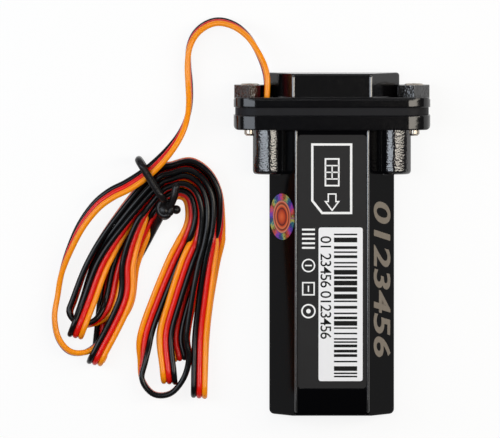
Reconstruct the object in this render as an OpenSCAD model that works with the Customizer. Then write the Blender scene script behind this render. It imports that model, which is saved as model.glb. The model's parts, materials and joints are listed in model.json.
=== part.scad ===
// Waterproof vehicle tracker with a screwed end cap and a three-wire lead.
// It lies on its back: +Z is the label side, +Y the cap end, and the back rests on Z = 0.
// The origin is at the middle of the housing, at the height of its back.

/* [Case] */
// Length of the housing, closed end to top of the cap
total_len = 90; // [84:0.5:104]
// Width of the case across its back
body_w = 32.9; // [31:0.1:36]
// Width of the flat front face
face_w = 19.2; // [17:0.1:21]
// Thickness of the case, back to front face
body_t = 13.5; // [13:0.1:16]
// Height of the upright part of the case's sides
side_h = 2.4; // [1.8:0.1:3.2]
// Wall of the case and of the cap
wall = 1.6; // [1.3:0.1:1.8]
// Radius of the case's closed end corners
end_r = 1.2; // [0.6:0.1:2]
// Depth of the label recess
recess_d = 0.4; // [0.2:0.05:0.6]
// Black margin beside the label recess
recess_margin = 0.45; // [0.3:0.05:1]
// Distance from the closed end to the label recess
recess_from_end = 7.2; // [5:0.1:12]
// Radius of the recess's corners
recess_r = 1; // [0.5:0.1:2]

/* [Flanges] */
// Width of the flanges and the gasket's seat
flange_w = 51.7; // [49:0.1:56]
// Height of the flanges above the back
flange_h = 15; // [14.6:0.1:17]
// Radius of the flanges' front corners
flange_r = 6; // [4:0.1:7]
// Radius of the flanges' back corners
flange_back_r = 1.5; // [0.5:0.1:3]
// Thickness of the case's flange
case_flange_t = 3.8; // [3:0.1:5]
// Thickness of the gasket
gasket_t = 2.1; // [1.6:0.1:2.6]
// How far the gasket stays inside the flanges' edge
gasket_inset = 0.4; // [0.2:0.05:0.8]
// Thickness of the cap's flange
cap_flange_t = 2.6; // [2.4:0.1:3.6]
// Bevel along the cap flange's outer edge
cap_bevel = 0.6; // [0.3:0.05:1]
// Length of the round lobes below the case's flange
lobe_len = 11.9; // [8:0.1:16]
// Radius of the lobes
lobe_r = 4.6; // [4:0.05:5]
// Radius of the lobes' lower edge
lobe_end_r = 1; // [0.5:0.1:1.6]

/* [Cap] */
// Height of the cap's dome above its flange
dome_h = 6.3; // [5:0.1:9]
// Radius of the dome's edges
dome_r = 0.8; // [0.4:0.1:1.4]
// How far the dome stands out past the case on each side
dome_side = 1.35; // [0.6:0.05:1.4]
// Height of the collars round the screw heads
collar_h = 3.1; // [2.4:0.1:4]
// Width of a collar
collar_w = 8.2; // [7.8:0.1:8.6]
// Height of the collars' ridge above the back
collar_ridge = 10.6; // [9.6:0.1:12]
// Length of the spigot inside the case's mouth
spigot_len = 2.6; // [1.8:0.1:2.8]
// Wall of the spigot
spigot_wall = 1.2; // [0.9:0.1:1.3]
// Clearance between the spigot and the mouth
spigot_gap = 0.15; // [0.1:0.05:0.3]

/* [Screws] */
// Distance of each screw from the flanges' side edge
screw_edge = 4.25; // [3.9:0.05:4.5]
// Height of the screws above the back
screw_z = 4.7; // [4.5:0.1:5.5]
// Diameter of the screws' thread
screw_d = 3; // [2.5:0.1:3]
// Length of the screws under their heads
screw_len = 12; // [10:0.5:16]
// Diameter of the screw heads
head_d = 5.5; // [5:0.1:5.6]
// Height of the screw heads
head_h = 1.8; // [1.5:0.1:2.2]
// How far the heads stand above their collars
head_proud = 0.4; // [0.2:0.05:0.8]
// Diameter of the thread inserts
insert_d = 4.2; // [4:0.1:4.6]
// Depth of the cross recess
cross_d = 1; // [0.6:0.1:1.2]

/* [Electronics] */
// Height of the board's underside above the back
board_z = 5.6; // [5.4:0.1:5.9]
// Thickness of the board
board_t = 1.2; // [1:0.1:1.4]
// Clearance between the board's edges and the case
board_side_gap = 0.355; // [0.2:0.005:0.8]
// Gap between the board and the closed end wall
board_end_gap = 1.4; // [1:0.1:2.4]
// Length of the bay between the battery and the board's open end
bay_len = 37.5; // [36:0.5:44]
// How far the battery stays inside the board's edges
battery_side = 2; // [1.6:0.1:4]
// Thickness of the battery
battery_t = 3.4; // [2.8:0.1:3.6]
// How far the satellite antenna stays inside the board's edges
patch_side = 2.5; // [2.5:0.1:4]
// Thickness of the satellite antenna
patch_t = 4; // [3:0.1:4.4]
// Length of the radio module
radio_len = 17.6; // [15:0.1:19]
// How far the radio module stays inside the board's edges
radio_side = 3.6; // [3.2:0.1:5]
// Height of the radio module's shield
radio_t = 2.3; // [1.8:0.1:2.8]
// Distance between the radio module and the card
card_gap = 7.8; // [2:0.1:10]
// How far the card stays inside the board's edges
card_side = 4; // [4:0.1:6]
// Thickness of the card
sim_t = 0.8; // [0.7:0.01:0.84]
// Travel of the power switch's knob
knob_travel = 1.5; // [1:0.1:2]

/* [Labels] */
// Thickness of the front label
label_t = 0.25; // [0.15:0.05:0.35]
// Thickness of the small stickers
sticker_t = 0.12; // [0.1:0.01:0.2]
// Width of the white sticker
id_w = 11.6; // [9:0.1:13]
// Length of the white sticker
id_len = 40.4; // [34:0.1:44]
// Diameter of the round seal sticker
seal_d = 12.2; // [9:0.1:12.6]

/* [Cable] */
// Diameter of one insulated wire
wire_d = 1.5; // [1.2:0.1:1.6]
// Step from one strand of the hank to the next
hank_step = 2.1; // [2.1:0.05:2.4]
// Radius of the hank's tightest fold
fold_r = 3; // [2.8:0.1:3.4]
// Radius of the bend in the middle of the hank, at its middle strand
bend_r = 9.4; // [9.3:0.1:11]
// Diameter of the tie's coated wire
tie_d = 2; // [1.6:0.1:2.1]
// Diameter of the tie's knot
knot_d = 3.4; // [3:0.1:3.8]

/* [Hidden] */

// Smoothness of round faces, and of the rounded outlines' corners
round_fn = 48;
corner_steps = 6;
// How far a cut runs past the face that it opens
over = 0.5;
// Seat clearance between a loose part and what holds it
seat = 0.1;

// Places along the housing
y_end = -total_len / 2;
y_top = total_len / 2;
y_cap = y_top - dome_h;
y_gasket = y_cap - cap_flange_t;
y_mouth = y_gasket - gasket_t;
y_flange = y_mouth - case_flange_t;

// Slope of the case's slanted sides above the horizontal
slope = atan2(body_t - side_h, (body_w - face_w) / 2);

// Half the case's width at height z, drawn in by a wall of thickness d
function half_at(z, d) = body_w / 2 - (z - side_h) / tan(slope) - d / sin(slope);

// Section of the case, drawn in by d; past the upright part of the sides only the slanted part is left
function case_section(d) = let (
        side = body_w / 2 - d,
        knee = side_h + d * (tan(slope) - 1 / cos(slope)),
        top = body_t - d,
        face = half_at(top, d),
        foot = half_at(d, d))
    knee > d ? [[-side, d], [side, d], [side, knee], [face, top], [-face, top], [-side, knee]] :
        [[-foot, d], [foot, d], [face, top], [-face, top]];

// Quarter arc round [cx, cy], from angle a0 over 90 degrees, or one point where the corner is sharp
function quarter(cx, cy, r, a0) = r == 0 ? [[cx, cy]] :
    [for (i = [0:corner_steps]) let (a = a0 + 90 * i / corner_steps) [cx + r * cos(a), cy + r * sin(a)]];

// Outline of a rectangle whose high corners are cut off at 45 degrees
function bevel_rect(x0, y0, x1, y1, c) =
    [[x0, y0], [x1, y0], [x1, y1 - c], [x1 - c, y1], [x0 + c, y1], [x0, y1 - c]];

// Outline of a rectangle with its own radius at the low and the high corners
function soft_rect(x0, y0, x1, y1, r_low, r_high) = concat(
    quarter(x0 + r_low, y0 + r_low, r_low, 180),
    quarter(x1 - r_low, y0 + r_low, r_low, 270),
    quarter(x1 - r_high, y1 - r_high, r_high, 0),
    quarter(x0 + r_high, y1 - r_high, r_high, 90));

// A section in the XZ plane, carried along Y
module along_y(y0, y1) {
    translate([0, y1, 0]) rotate([90, 0, 0]) linear_extrude(y1 - y0) children();
}

// A side outline, drawn as height and place along Y, carried across the whole width
module across_x(w) {
    translate([w / 2, 0, 0]) rotate([0, -90, 0]) linear_extrude(w) children();
}

// A round bar along Y
module rod_y(x, z, r, y0, y1) {
    translate([x, y1, z]) rotate([90, 0, 0]) cylinder(h = y1 - y0, r = r, $fn = round_fn);
}

// A block from one corner to the other
module block(p, q) {
    translate(p) cube(q - p);
}

// The case's section, with the edges of one end rounded in plan and in side view
module rounded_tube(y0, y1, r_low, r_high) {
    intersection() {
        along_y(y0, y1) polygon(case_section(0));
        linear_extrude(body_t) polygon(soft_rect(-body_w / 2, y0, body_w / 2, y1, r_low, r_high));
        across_x(body_w) polygon(soft_rect(-body_t, y0, body_t, y1, r_low, r_high));
    }
}

// The flanges' section, drawn in by d
module flange_section(d) {
    polygon(soft_rect(-flange_w / 2 + d, d, flange_w / 2 - d, flange_h - d, flange_back_r, flange_r));
}

// Holes for both screws
module screw_holes(r, y0, y1) {
    for (side = [-1, 1]) rod_y(side * screw_x, screw_z, r, y0, y1);
}

// Case: a tube with a closed end, a flange with two lobes, and ledges for the board
board_screw_d = 1.8;
lobe_x = body_w / 2;
lobe_z = lobe_r + seat;
free_hole_r = screw_d / 2 + 2 * seat;
insert_r = insert_d / 2;
screw_x = flange_w / 2 - screw_edge;
board_top = board_z + board_t;
board_w = 2 * (half_at(board_top, wall) - board_side_gap);
ledge_w = 1.2;
ledge_t = 1.2;
boss_d = 4;
boss_x = board_w / 2 - boss_d / 2 - seat;
y_board0 = y_end + wall + board_end_gap;
y_board1 = y_mouth - spigot_len - board_end_gap;
y_boss = y_board0 + boss_d / 2;
ledge_half = half_at(board_z, wall);
recess_y0 = y_end + recess_from_end;
recess_y1 = y_flange - end_r;
recess_half = face_w / 2 - recess_margin;

module lobe_body() {
    y0 = y_flange - lobe_len;
    for (side = [-1, 1]) translate([side * lobe_x, y_mouth - case_flange_t / 2, lobe_z]) rotate([90, 0, 0])
        rotate_extrude($fn = round_fn) polygon(concat(
            [[0, 0], [lobe_r, 0]],
            quarter(lobe_r - lobe_end_r, y_mouth - case_flange_t / 2 - y0 - lobe_end_r, lobe_end_r, 0),
            [[0, y_mouth - case_flange_t / 2 - y0]]));
}

module case_body() {
    color([0.05, 0.05, 0.06]) difference() {
        union() {
            rounded_tube(y_end, y_mouth - case_flange_t / 2, end_r, 0);
            intersection() {
                along_y(y_flange, y_mouth) flange_section(0);
                linear_extrude(flange_h)
                    polygon(soft_rect(-flange_w / 2, y_flange, flange_w / 2, y_mouth, end_r, 0));
            }
            lobe_body();
        }
        difference() {
            along_y(y_end + wall, y_mouth + over) polygon(case_section(wall));
            for (side = [-1, 1]) {
                block([min(side * (ledge_half - ledge_w), side * body_w / 2), y_board0, board_z - ledge_t],
                    [max(side * (ledge_half - ledge_w), side * body_w / 2), y_board1, board_z]);
                translate([side * boss_x, y_boss, 0])
                    cylinder(h = board_z, r = boss_d / 2, $fn = round_fn);
            }
        }
        for (side = [-1, 1]) translate([side * boss_x, y_boss, wall])
            cylinder(h = board_z, r = board_screw_d / 2, $fn = round_fn);
        screw_holes(insert_r, y_flange, y_mouth + over);
        screw_holes(free_hole_r, y_flange - lobe_len, y_flange + over);
        translate([0, 0, body_t - recess_d]) linear_extrude(recess_d + over)
            polygon(soft_rect(-recess_half, recess_y0, recess_half, recess_y1, recess_r, recess_r));
    }
}

// Front label: the film that fills the recess
module front_label() {
    color([0.16, 0.17, 0.18]) translate([0, 0, body_t - recess_d]) linear_extrude(label_t)
        polygon(soft_rect(-recess_half + seat, recess_y0 + seat, recess_half - seat, recess_y1 - seat,
            recess_r, recess_r));
}

// White sticker with the generic numbers, on the front label
sticker_edge = 0.9;
id_right = recess_half - 2 * seat - sticker_edge;
sticker_r = 0.6;
y_id0 = recess_y0 + 2;
module id_label() {
    color("white") translate([0, 0, body_t - recess_d + label_t]) linear_extrude(sticker_t)
        polygon(soft_rect(id_right - id_w, y_id0, id_right, y_id0 + id_len, sticker_r, sticker_r));
}

// Round seal sticker, on the left slanted side
seal_below = 5;
y_seal = y_flange - lobe_len - seal_below - seal_d / 2;
module seal_sticker() {
    color([0.85, 0.35, 0.15])
        translate([-(body_w + face_w) / 4, y_seal, (body_t + side_h) / 2])
        rotate([0, -slope, 0]) cylinder(h = sticker_t, r = seal_d / 2, $fn = round_fn);
}

// Brass inserts that take the screws' threads
module thread_inserts() {
    color([0.8, 0.62, 0.25]) for (side = [-1, 1]) difference() {
        rod_y(side * screw_x, screw_z, insert_r, y_flange, y_mouth);
        rod_y(side * screw_x, screw_z, screw_d / 2 + seat / 2, y_flange - over, y_mouth + over);
    }
}

// Board, held on the ledges by two small screws
board_head_d = 3.2;
board_head_t = 0.9;
board_screw_len = 4.5;
board_r = 0.8;
part_gap = 0.5;
module main_board() {
    color([0.05, 0.35, 0.16]) difference() {
        translate([0, 0, board_z]) linear_extrude(board_t)
            polygon(soft_rect(-board_w / 2, y_board0, board_w / 2, y_board1, board_r, board_r));
        for (side = [-1, 1]) translate([side * boss_x, y_boss, board_z - over])
            cylinder(h = board_t + 2 * over, r = board_screw_d / 2 + seat, $fn = round_fn);
    }
}

module board_screws() {
    color("silver") for (side = [-1, 1]) translate([side * boss_x, y_boss, board_top]) {
        cylinder(h = board_head_t, r = board_head_d / 2, $fn = round_fn);
        translate([0, 0, -board_screw_len]) cylinder(h = board_screw_len, r = board_screw_d / 2 - seat / 2,
            $fn = round_fn);
    }
}

// Pouch battery on the case's floor, below the board
y_batt = y_boss + boss_d / 2 + part_gap;
battery_len = y_board1 - bay_len - y_batt;
battery_w = board_w - 2 * battery_side;
battery_r = 1.4;
module battery() {
    color([0.75, 0.76, 0.78]) along_y(y_batt, y_batt + battery_len)
        polygon([for (p = soft_rect(-battery_w / 2, 0, battery_w / 2, battery_t, battery_r, battery_r))
            [p[0], p[1] + wall]]);
}

// Ceramic satellite antenna with its silver patch and feed pin
y_patch = y_boss + board_head_d / 2 + part_gap;
patch_w = board_w - 2 * patch_side;
patch_r = 1;
patch_margin = 2.4;
silver_t = 0.1;
module satellite_antenna() {
    color([0.85, 0.78, 0.62]) translate([0, 0, board_top]) linear_extrude(patch_t)
        polygon(soft_rect(-patch_w / 2, y_patch, patch_w / 2, y_patch + patch_w, patch_r, patch_r));
    color("silver") translate([0, 0, board_top + patch_t]) linear_extrude(silver_t)
        polygon(soft_rect(patch_margin - patch_w / 2, y_patch + patch_margin, patch_w / 2 - patch_margin,
            y_patch + patch_w - patch_margin, patch_r, patch_r));
}

// A shield can on its module board, from corner [x, y] at height z, growing up or down
module shield_can(x, y, w, l, z, t, up) {
    base_t = t / 4;
    rim = w / 20;
    translate([0, 0, up > 0 ? z : z - base_t]) linear_extrude(base_t)
        polygon(soft_rect(x, y, x + w, y + l, 0, 0));
    translate([0, 0, up > 0 ? z + base_t : z - t]) linear_extrude(t - base_t)
        polygon(soft_rect(x + rim, y + rim, x + w - rim, y + l - rim, rim, rim));
}

y_radio = y_patch + patch_w + part_gap;
radio_w = board_w - 2 * radio_side;
module radio_module() {
    color([0.78, 0.78, 0.74]) shield_can(-radio_w / 2, y_radio, radio_w, radio_len, board_top, radio_t, 1);
}

chip_w = 6;
receiver_w = 10;
receiver_len = 9.6;
receiver_t = 2;
y_receiver = y_batt + battery_len + chip_w + 2 * part_gap;
module receiver_module() {
    color([0.78, 0.78, 0.74])
        shield_can(-receiver_w / 2, y_receiver, receiver_w, receiver_len, board_z, receiver_t, -1);
}

// Strip antenna at the board's closed end
strip_w = 13;
strip_l = 2.4;
strip_t = 0.8;
module radio_antenna() {
    color([0.2, 0.28, 0.5]) block([-strip_w / 2, y_board0 + part_gap / 2, board_top],
        [strip_w / 2, y_board0 + part_gap / 2 + strip_l, board_top + strip_t]);
}

// Chips: the controller below the board, the motion sensor and a memory chip above it
chip_t = 0.9;
small_chip_w = 2;
module board_chips() {
    color([0.1, 0.1, 0.1]) {
        block([-chip_w / 2, y_batt + battery_len + part_gap, board_z - chip_t],
            [chip_w / 2, y_batt + battery_len + part_gap + chip_w, board_z]);
        for (i = [0:2]) translate([radio_w / 2 + part_gap, y_radio + (i + 1) * 2 * small_chip_w, board_top])
            cube([small_chip_w, small_chip_w, chip_t]);
    }
}

// Power parts below the board: a coil in its square case and two round capacitors
coil_w = 6;
coil_t = 2.8;
can_d = 4;
can_h = 3;
y_power = y_receiver + receiver_len + part_gap;
power_x = board_w / 2 - coil_w - can_d - 2 * part_gap;
module power_parts() {
    color([0.25, 0.25, 0.27]) translate([0, 0, board_z - coil_t]) linear_extrude(coil_t)
        polygon(soft_rect(power_x, y_power, power_x + coil_w, y_power + coil_w, patch_r, patch_r));
    color([0.7, 0.7, 0.72]) for (i = [0, 1])
        translate([power_x + part_gap + coil_w + can_d / 2, y_power + can_d / 2 + i * (can_d + part_gap / 2),
            board_z - can_h])
        cylinder(h = can_h, r = can_d / 2 - seat, $fn = round_fn);
}

// Status lights beside the card
light_l = 1.6;
light_w = 0.8;
light_t = 0.7;
y_lights = y_board1 - 3 * light_l;
module status_lights() {
    color([0.3, 0.9, 0.4]) for (i = [0, 1])
        translate([holder_half + part_gap, y_lights + i * (light_l + part_gap / 2), board_top])
        cube([light_w, light_l, light_t]);
}

// Card and its holder, open towards the cap
holder_wall = 0.5;
holder_len_share = 0.78;
sim_z = board_top + holder_wall + seat;
y_sim = y_radio + radio_len + card_gap;
sim_len = y_board1 + 2 * part_gap - y_sim;
sim_w = board_w - 2 * card_side;
holder_half = sim_w / 2 + seat + holder_wall;
holder_y1 = y_sim + sim_len * holder_len_share;
window_w_share = 0.6;
module sim_holder() {
    y0 = y_sim - holder_wall - seat;
    top = sim_z + sim_t + seat + holder_wall;
    color([0.8, 0.8, 0.82]) difference() {
        block([-holder_half, y0, board_top], [holder_half, holder_y1, top]);
        block([-sim_w / 2 - seat, y_sim - seat, sim_z - seat],
            [sim_w / 2 + seat, holder_y1 + over, sim_z + sim_t + seat]);
        block([-sim_w * window_w_share / 2, y_sim + part_gap, sim_z],
            [sim_w * window_w_share / 2, holder_y1 - 2 * part_gap, top + over]);
    }
}

sim_cut = 3;
module sim_card() {
    color([0.9, 0.88, 0.8]) translate([0, 0, sim_z]) linear_extrude(sim_t)
        polygon([[-sim_w / 2 + sim_cut, y_sim], [sim_w / 2, y_sim], [sim_w / 2, y_sim + sim_len],
            [-sim_w / 2, y_sim + sim_len], [-sim_w / 2, y_sim + sim_cut]]);
}

// Slide switch for the power, with its knob
switch_w = 2.4;
switch_len = 7;
switch_t = 1.4;
knob_w = 0.8;
knob_len = 1.6;
knob_h = 1;
switch_x = -holder_half - part_gap / 2 - switch_w;
y_switch = y_board1 - switch_len - light_l * 2;
module power_switch() {
    slot_x = switch_x + (switch_w - knob_w) / 2 - seat;
    slot_y = y_switch + (switch_len - knob_len - knob_travel) / 2 - seat;
    color("silver") difference() {
        block([switch_x, y_switch, board_top], [switch_x + switch_w, y_switch + switch_len, board_top + switch_t]);
        block([slot_x, slot_y, board_top + switch_t / 2],
            [slot_x + knob_w + 2 * seat, slot_y + knob_len + knob_travel + 2 * seat, board_top + switch_t + over]);
    }
}

module switch_knob() {
    color([0.08, 0.08, 0.08]) translate([switch_x + (switch_w - knob_w) / 2,
        y_switch + (switch_len - knob_len - knob_travel) / 2, board_top + switch_t / 2 + seat])
        cube([knob_w, knob_len, knob_h]);
}

// Socket below the board's edge, and the lead's plug in it
socket_in = 1.5;
socket_x = -board_w / 2 + socket_in;
socket_w = 6.4;
socket_len = 5;
socket_t = 3;
socket_wall = 0.5;
pin_w = 0.4;
plug_len = 6;
socket_mid = socket_x + socket_w / 2;
socket_y0 = y_board1 - socket_len;
module board_socket() {
    color([0.92, 0.9, 0.82]) difference() {
        block([socket_x, socket_y0, board_z - socket_t], [socket_x + socket_w, y_board1, board_z]);
        block([socket_x + socket_wall, socket_y0 + 2 * socket_wall, board_z - socket_t + socket_wall],
            [socket_x + socket_w - socket_wall, y_board1 + over, board_z - socket_wall]);
    }
    color("gold") for (i = [-1:1])
        block([socket_mid + i * wire_d - pin_w / 2, socket_y0 + socket_wall, board_z - socket_t / 2 - pin_w / 2],
            [socket_mid + i * wire_d + pin_w / 2, y_board1 - 3 * socket_wall, board_z - socket_t / 2 + pin_w / 2]);
}

module lead_plug() {
    play = 1.5 * seat;
    x0 = socket_x + socket_wall + play;
    x1 = socket_x + socket_w - socket_wall - play;
    z0 = board_z - socket_t + socket_wall + play;
    z1 = board_z - socket_wall - play;
    y0 = socket_y0 + 2 * socket_wall + play;
    color([0.94, 0.93, 0.88]) difference() {
        block([x0, y0, z0], [x1, y0 + plug_len, z1]);
        for (i = [-1:1])
            block([socket_mid + i * wire_d - pin_w, y0 - over, board_z - socket_t / 2 - pin_w],
                [socket_mid + i * wire_d + pin_w, y_board1, board_z - socket_t / 2 + pin_w]);
    }
}

// Cap: bevelled flange, dome, collars round the screw heads, and a spigot into the case's mouth
collar_outer_share = 0.5;
collar_inner_share = 0.7;
head_gap = 0.15;
y_head = y_cap + collar_h + head_proud - head_h;
exit_out = 0.65;
exit_x = body_w / 2 + exit_out;
exit_z = 8.8;
ribbon_w = 3 * wire_d;
seal_w = wire_d + 2 * 0.6 * wire_d;
seal_h = ribbon_w + 0.8 * wire_d;
duct_t = wire_d + 3 * seat;

module collar(side) {
    intersection() {
        along_y(y_cap - cap_flange_t / 2, y_cap + collar_h) polygon([
            [side * (screw_x - collar_w / 2), 0],
            [side * (screw_x + collar_w / 2), 0],
            [side * (screw_x + collar_w / 2), collar_ridge * collar_outer_share],
            [side * screw_x, collar_ridge],
            [side * (screw_x - collar_w / 2), collar_ridge * collar_inner_share]]);
        along_y(y_cap - cap_flange_t, y_cap + collar_h + over) flange_section(0);
    }
}

module end_cap() {
    y_spigot = y_mouth - spigot_len;
    color([0.05, 0.05, 0.06]) difference() {
        union() {
            intersection() {
                along_y(y_gasket, y_cap) flange_section(0);
                linear_extrude(flange_h)
                    polygon(bevel_rect(-flange_w / 2, y_gasket, flange_w / 2, y_cap, cap_bevel));
                across_x(flange_w) polygon(bevel_rect(-flange_h, y_gasket, flange_h, y_cap, cap_bevel));
            }
            scale([1 + 2 * dome_side / body_w, 1, 1]) rounded_tube(y_cap - cap_flange_t / 2, y_top, 0, dome_r);
            for (side = [-1, 1]) collar(side);
            along_y(y_spigot, y_gasket + cap_flange_t / 2) polygon(case_section(wall + spigot_gap));
        }
        along_y(y_spigot - over, y_cap) polygon(case_section(wall + spigot_gap + spigot_wall));
        along_y(y_gasket + duct_t, y_top - wall) polygon(case_section(wall));
        screw_holes(head_d / 2 + head_gap, y_head, y_top);
        screw_holes(free_hole_r, y_gasket - over, y_head + over);
        block([-exit_x - seal_w / 2, y_gasket - over, exit_z - seal_h / 2],
            [-exit_x + seal_w / 2, y_top, exit_z + seal_h / 2]);
        block([-exit_x, y_gasket - over, exit_z - ribbon_w / 2 - seat],
            [-half_at(exit_z, wall + spigot_gap + spigot_wall) + over, y_gasket + duct_t,
                exit_z + ribbon_w / 2 + seat]);
        block([-exit_x - seal_w / 2, y_cap, 0], [-screw_x + collar_w / 2 + over, y_top, flange_h]);
    }
}

module gasket() {
    color([0.17, 0.17, 0.17]) difference() {
        along_y(y_mouth, y_gasket) flange_section(gasket_inset);
        along_y(y_mouth - over, y_gasket + over) polygon(case_section(wall));
        screw_holes(free_hole_r, y_mouth - over, y_gasket + over);
    }
}

// Rubber block that seals the ribbon in the cap's flange
module cable_seal() {
    color([0.1, 0.1, 0.1]) difference() {
        block([-exit_x - seal_w / 2 + seat / 2, y_gasket + duct_t, exit_z - seal_h / 2 + seat / 2],
            [-exit_x + seal_w / 2 - seat / 2, y_cap, exit_z + seal_h / 2 - seat / 2]);
        block([-exit_x - wire_d / 2 - seat / 2, y_gasket, exit_z - ribbon_w / 2 - seat / 2],
            [-exit_x + wire_d / 2 + seat / 2, y_top, exit_z + ribbon_w / 2 + seat / 2]);
    }
}

// Pan head screw with a cross recess and a chamfered tip
cross_w = 0.9;
cross_share = 0.55;
head_edge_r = 0.9;
tip_len = 0.5;
module screw(side) {
    color([0.72, 0.66, 0.58]) difference() {
        translate([side * screw_x, y_head + head_h, screw_z]) rotate([90, 0, 0])
            rotate_extrude($fn = round_fn) polygon(concat(
                [[0, 0]],
                [for (p = quarter(head_d / 2 - head_edge_r, head_edge_r, head_edge_r, 270)) p],
                [[head_d / 2, head_h], [screw_d / 2, head_h], [screw_d / 2, head_h + screw_len - tip_len],
                    [screw_d / 2 - tip_len, head_h + screw_len], [0, head_h + screw_len]]));
        for (turn = [0, 90]) translate([side * screw_x, y_head + head_h, screw_z]) rotate([0, turn, 0])
            cube([head_d * cross_share, 2 * cross_d, cross_w], center = true);
    }
}

module screw_left() { screw(-1); }
module screw_right() { screw(1); }

// Ribbon of three bonded wires. A path point is [x, y, z, roll], and may add the ribbon's width and thickness
// there. At roll 0 the ribbon lies flat, and at -90 it stands on edge with its left wire up
ring6_share = [[0.5, 0], [0.33, 0.5], [-0.33, 0.5], [-0.5, 0], [-0.33, -0.5], [0.33, -0.5]];
ring8_share = [[0.5, 0.2], [0.42, 0.5], [-0.42, 0.5], [-0.5, 0.2], [-0.5, -0.2], [-0.42, -0.5], [0.42, -0.5],
    [0.5, -0.2]];

function heading(path, i) = let (
        a = path[max(i - 1, 0)],
        b = path[min(i + 1, len(path) - 1)])
    atan2(b[1] - a[1], b[0] - a[0]);

function ribbon_ring(p, angle, shares) = [for (c = shares) let (
        u = c[0] * (len(p) > 4 ? p[4] : ribbon_w),
        v = c[1] * (len(p) > 4 ? p[5] : wire_d),
        across = u * cos(p[3]) - v * sin(p[3]))
    [p[0] + across * sin(angle), p[1] - across * cos(angle), p[2] + u * sin(p[3]) + v * cos(p[3])]];

// Triangles round a tube of rings with n corners each; a closed tube joins its last ring to its first
function tube_faces(rings, n, closed) = let (last = rings - 1) concat(
    [for (i = [0:closed ? last : last - 1], k = [0:n - 1]) let (
            a = i * n + k,
            b = i * n + (k + 1) % n,
            c = (i + 1) % rings * n + k,
            d = (i + 1) % rings * n + (k + 1) % n)
        each [[a, b, d], [a, d, c]]],
    closed ? [] : [for (k = [1:n - 2]) each [[0, k + 1, k], [last * n, last * n + k, last * n + k + 1]]]);

module ribbon(path, shares) {
    polyhedron(
        points = [for (i = [0:len(path) - 1]) each ribbon_ring(path[i], heading(path, i), shares)],
        faces = tube_faces(len(path), len(shares), false));
}

// The lead inside the cap, from the seal through the duct in the flange and down to the plug
duct_bend = 0.6 * wire_d;
y_duct = y_gasket + duct_t / 2;
plug_end = [socket_mid, socket_y0 + 2 * socket_wall + 1.5 * seat + plug_len, board_z - socket_t / 2];
// Shares of the way to the plug along X, Y and Z, the roll, and shares of the width and the thickness
inner_share = [
    [0, 0, 0, -90, 1, 1],
    [0.53, 0, 0, -90, 1, 1],
    [0.7, 0.08, 0.19, -75, 0.75, 1.2],
    [0.78, 0.33, 0.62, -45, 0.75, 1.2],
    [0.93, 0.62, 0.91, -10, 0.9, 1],
    [1, 0.8, 1, 0, 0.95, 1],
    [1, 1, 1, 0, 0.95, 1]];
module inner_lead() {
    from = [-exit_x + duct_bend, y_duct, exit_z];
    color([0.85, 0.35, 0.1]) ribbon(concat(
        [[-exit_x, y_cap, exit_z, -90]],
        [for (a = [180, 225]) [-exit_x + duct_bend * (1 + cos(a)), y_duct + duct_bend * (1 + sin(a)), exit_z, -90]],
        [for (s = inner_share) [
            from[0] + s[0] * (plug_end[0] - from[0]),
            from[1] + s[1] * (plug_end[1] - from[1]),
            from[2] + s[2] * (plug_end[2] - from[2]),
            s[3], s[4] * ribbon_w, s[5] * wire_d]]), ring6_share);
}

// Hank: seven strands on edge round one bend, folded to and fro as a spiral from the outside in. Its places
// are seen from above, measured from the point where the lead leaves the cap
bend_c = [-26, -29] + [-exit_x, y_cap];
tip_l = [-45.5, -59.5] + [-exit_x, y_cap];
tip_r = [-25, -69.5] + [-exit_x, y_cap];
hank_runs = 7;
hank_start = 0.5;
leg_steps = 2;
bend_steps = 8;
fold_steps = 6;
waist_z = tie_d + 2 * seat + ribbon_w / 2 + seat;
tips_z = wire_d + ribbon_w / 2 + seat;
function along(v) = atan2(v[1], v[0]);
a_left = along(tip_l - bend_c) - acos(bend_r / norm(tip_l - bend_c)) + 360;
a_right = along(tip_r - bend_c) + acos(bend_r / norm(tip_r - bend_c));
mid_lane = (hank_runs - 1) / 2;
function blend(a, b, t) = a + (b - a) * t;
function polar(r, a) = r * [cos(a), sin(a)];

// Distance of a lane from the middle line at the bend, and at a tip, where it makes room for the folds
function bend_off(lane) = (lane - mid_lane) * hank_step;
function tip_off(lane) = (lane - hank_runs / 2) * hank_step
    + sign(lane - hank_runs / 2) * (fold_r - hank_step / 2);

// Place on a leg, from the bend at u = 0 to the fold's centre at u = 1
function leg_at(tip, a, lane, next, u) = let (
        p = blend(bend_c + polar(bend_r, a), tip, u) + polar(blend(bend_off(lane), tip_off(next), u), a))
    [p[0], p[1], blend(waist_z, tips_z, u), -90];
function bend_at(lane, t) = let (p = bend_c + polar(bend_r + bend_off(lane), blend(a_left, a_right, t)))
    [p[0], p[1], waist_z, -90];
function fold_at(tip, a, r) = [tip[0] + r * cos(a), tip[1] + r * sin(a), tips_z, -90];

// Strand j: even ones go from left to right on the inner lanes, odd ones come back on the outer lanes
function strand(j) = let (
        even = j % 2 == 0,
        lane = even ? j / 2 : hank_runs - 1 - (j - 1) / 2,
        next_r = even ? lane : lane + 1,
        path = concat(
            [for (i = [0:leg_steps - 1]) leg_at(tip_l, a_left, lane, lane, 1 - i / leg_steps)],
            [for (i = [0:bend_steps]) bend_at(lane, i / bend_steps)],
            [for (i = [1:leg_steps]) leg_at(tip_r, a_right, lane, next_r, i / leg_steps)]))
    even ? path : [for (i = [len(path) - 1:-1:0]) path[i]];

// Fold after strand j, on the inside of its leg for a step of its own
function fold(j) = let (
        right = j % 2 == 0,
        lane = right ? j / 2 : (j + 1) / 2,
        r = abs(tip_off(lane)),
        tip = right ? tip_r : tip_l,
        a = right ? a_right - 180 : a_left)
    [for (i = [1:fold_steps - 1]) fold_at(tip, a + 180 * i / fold_steps, r)];

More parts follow.
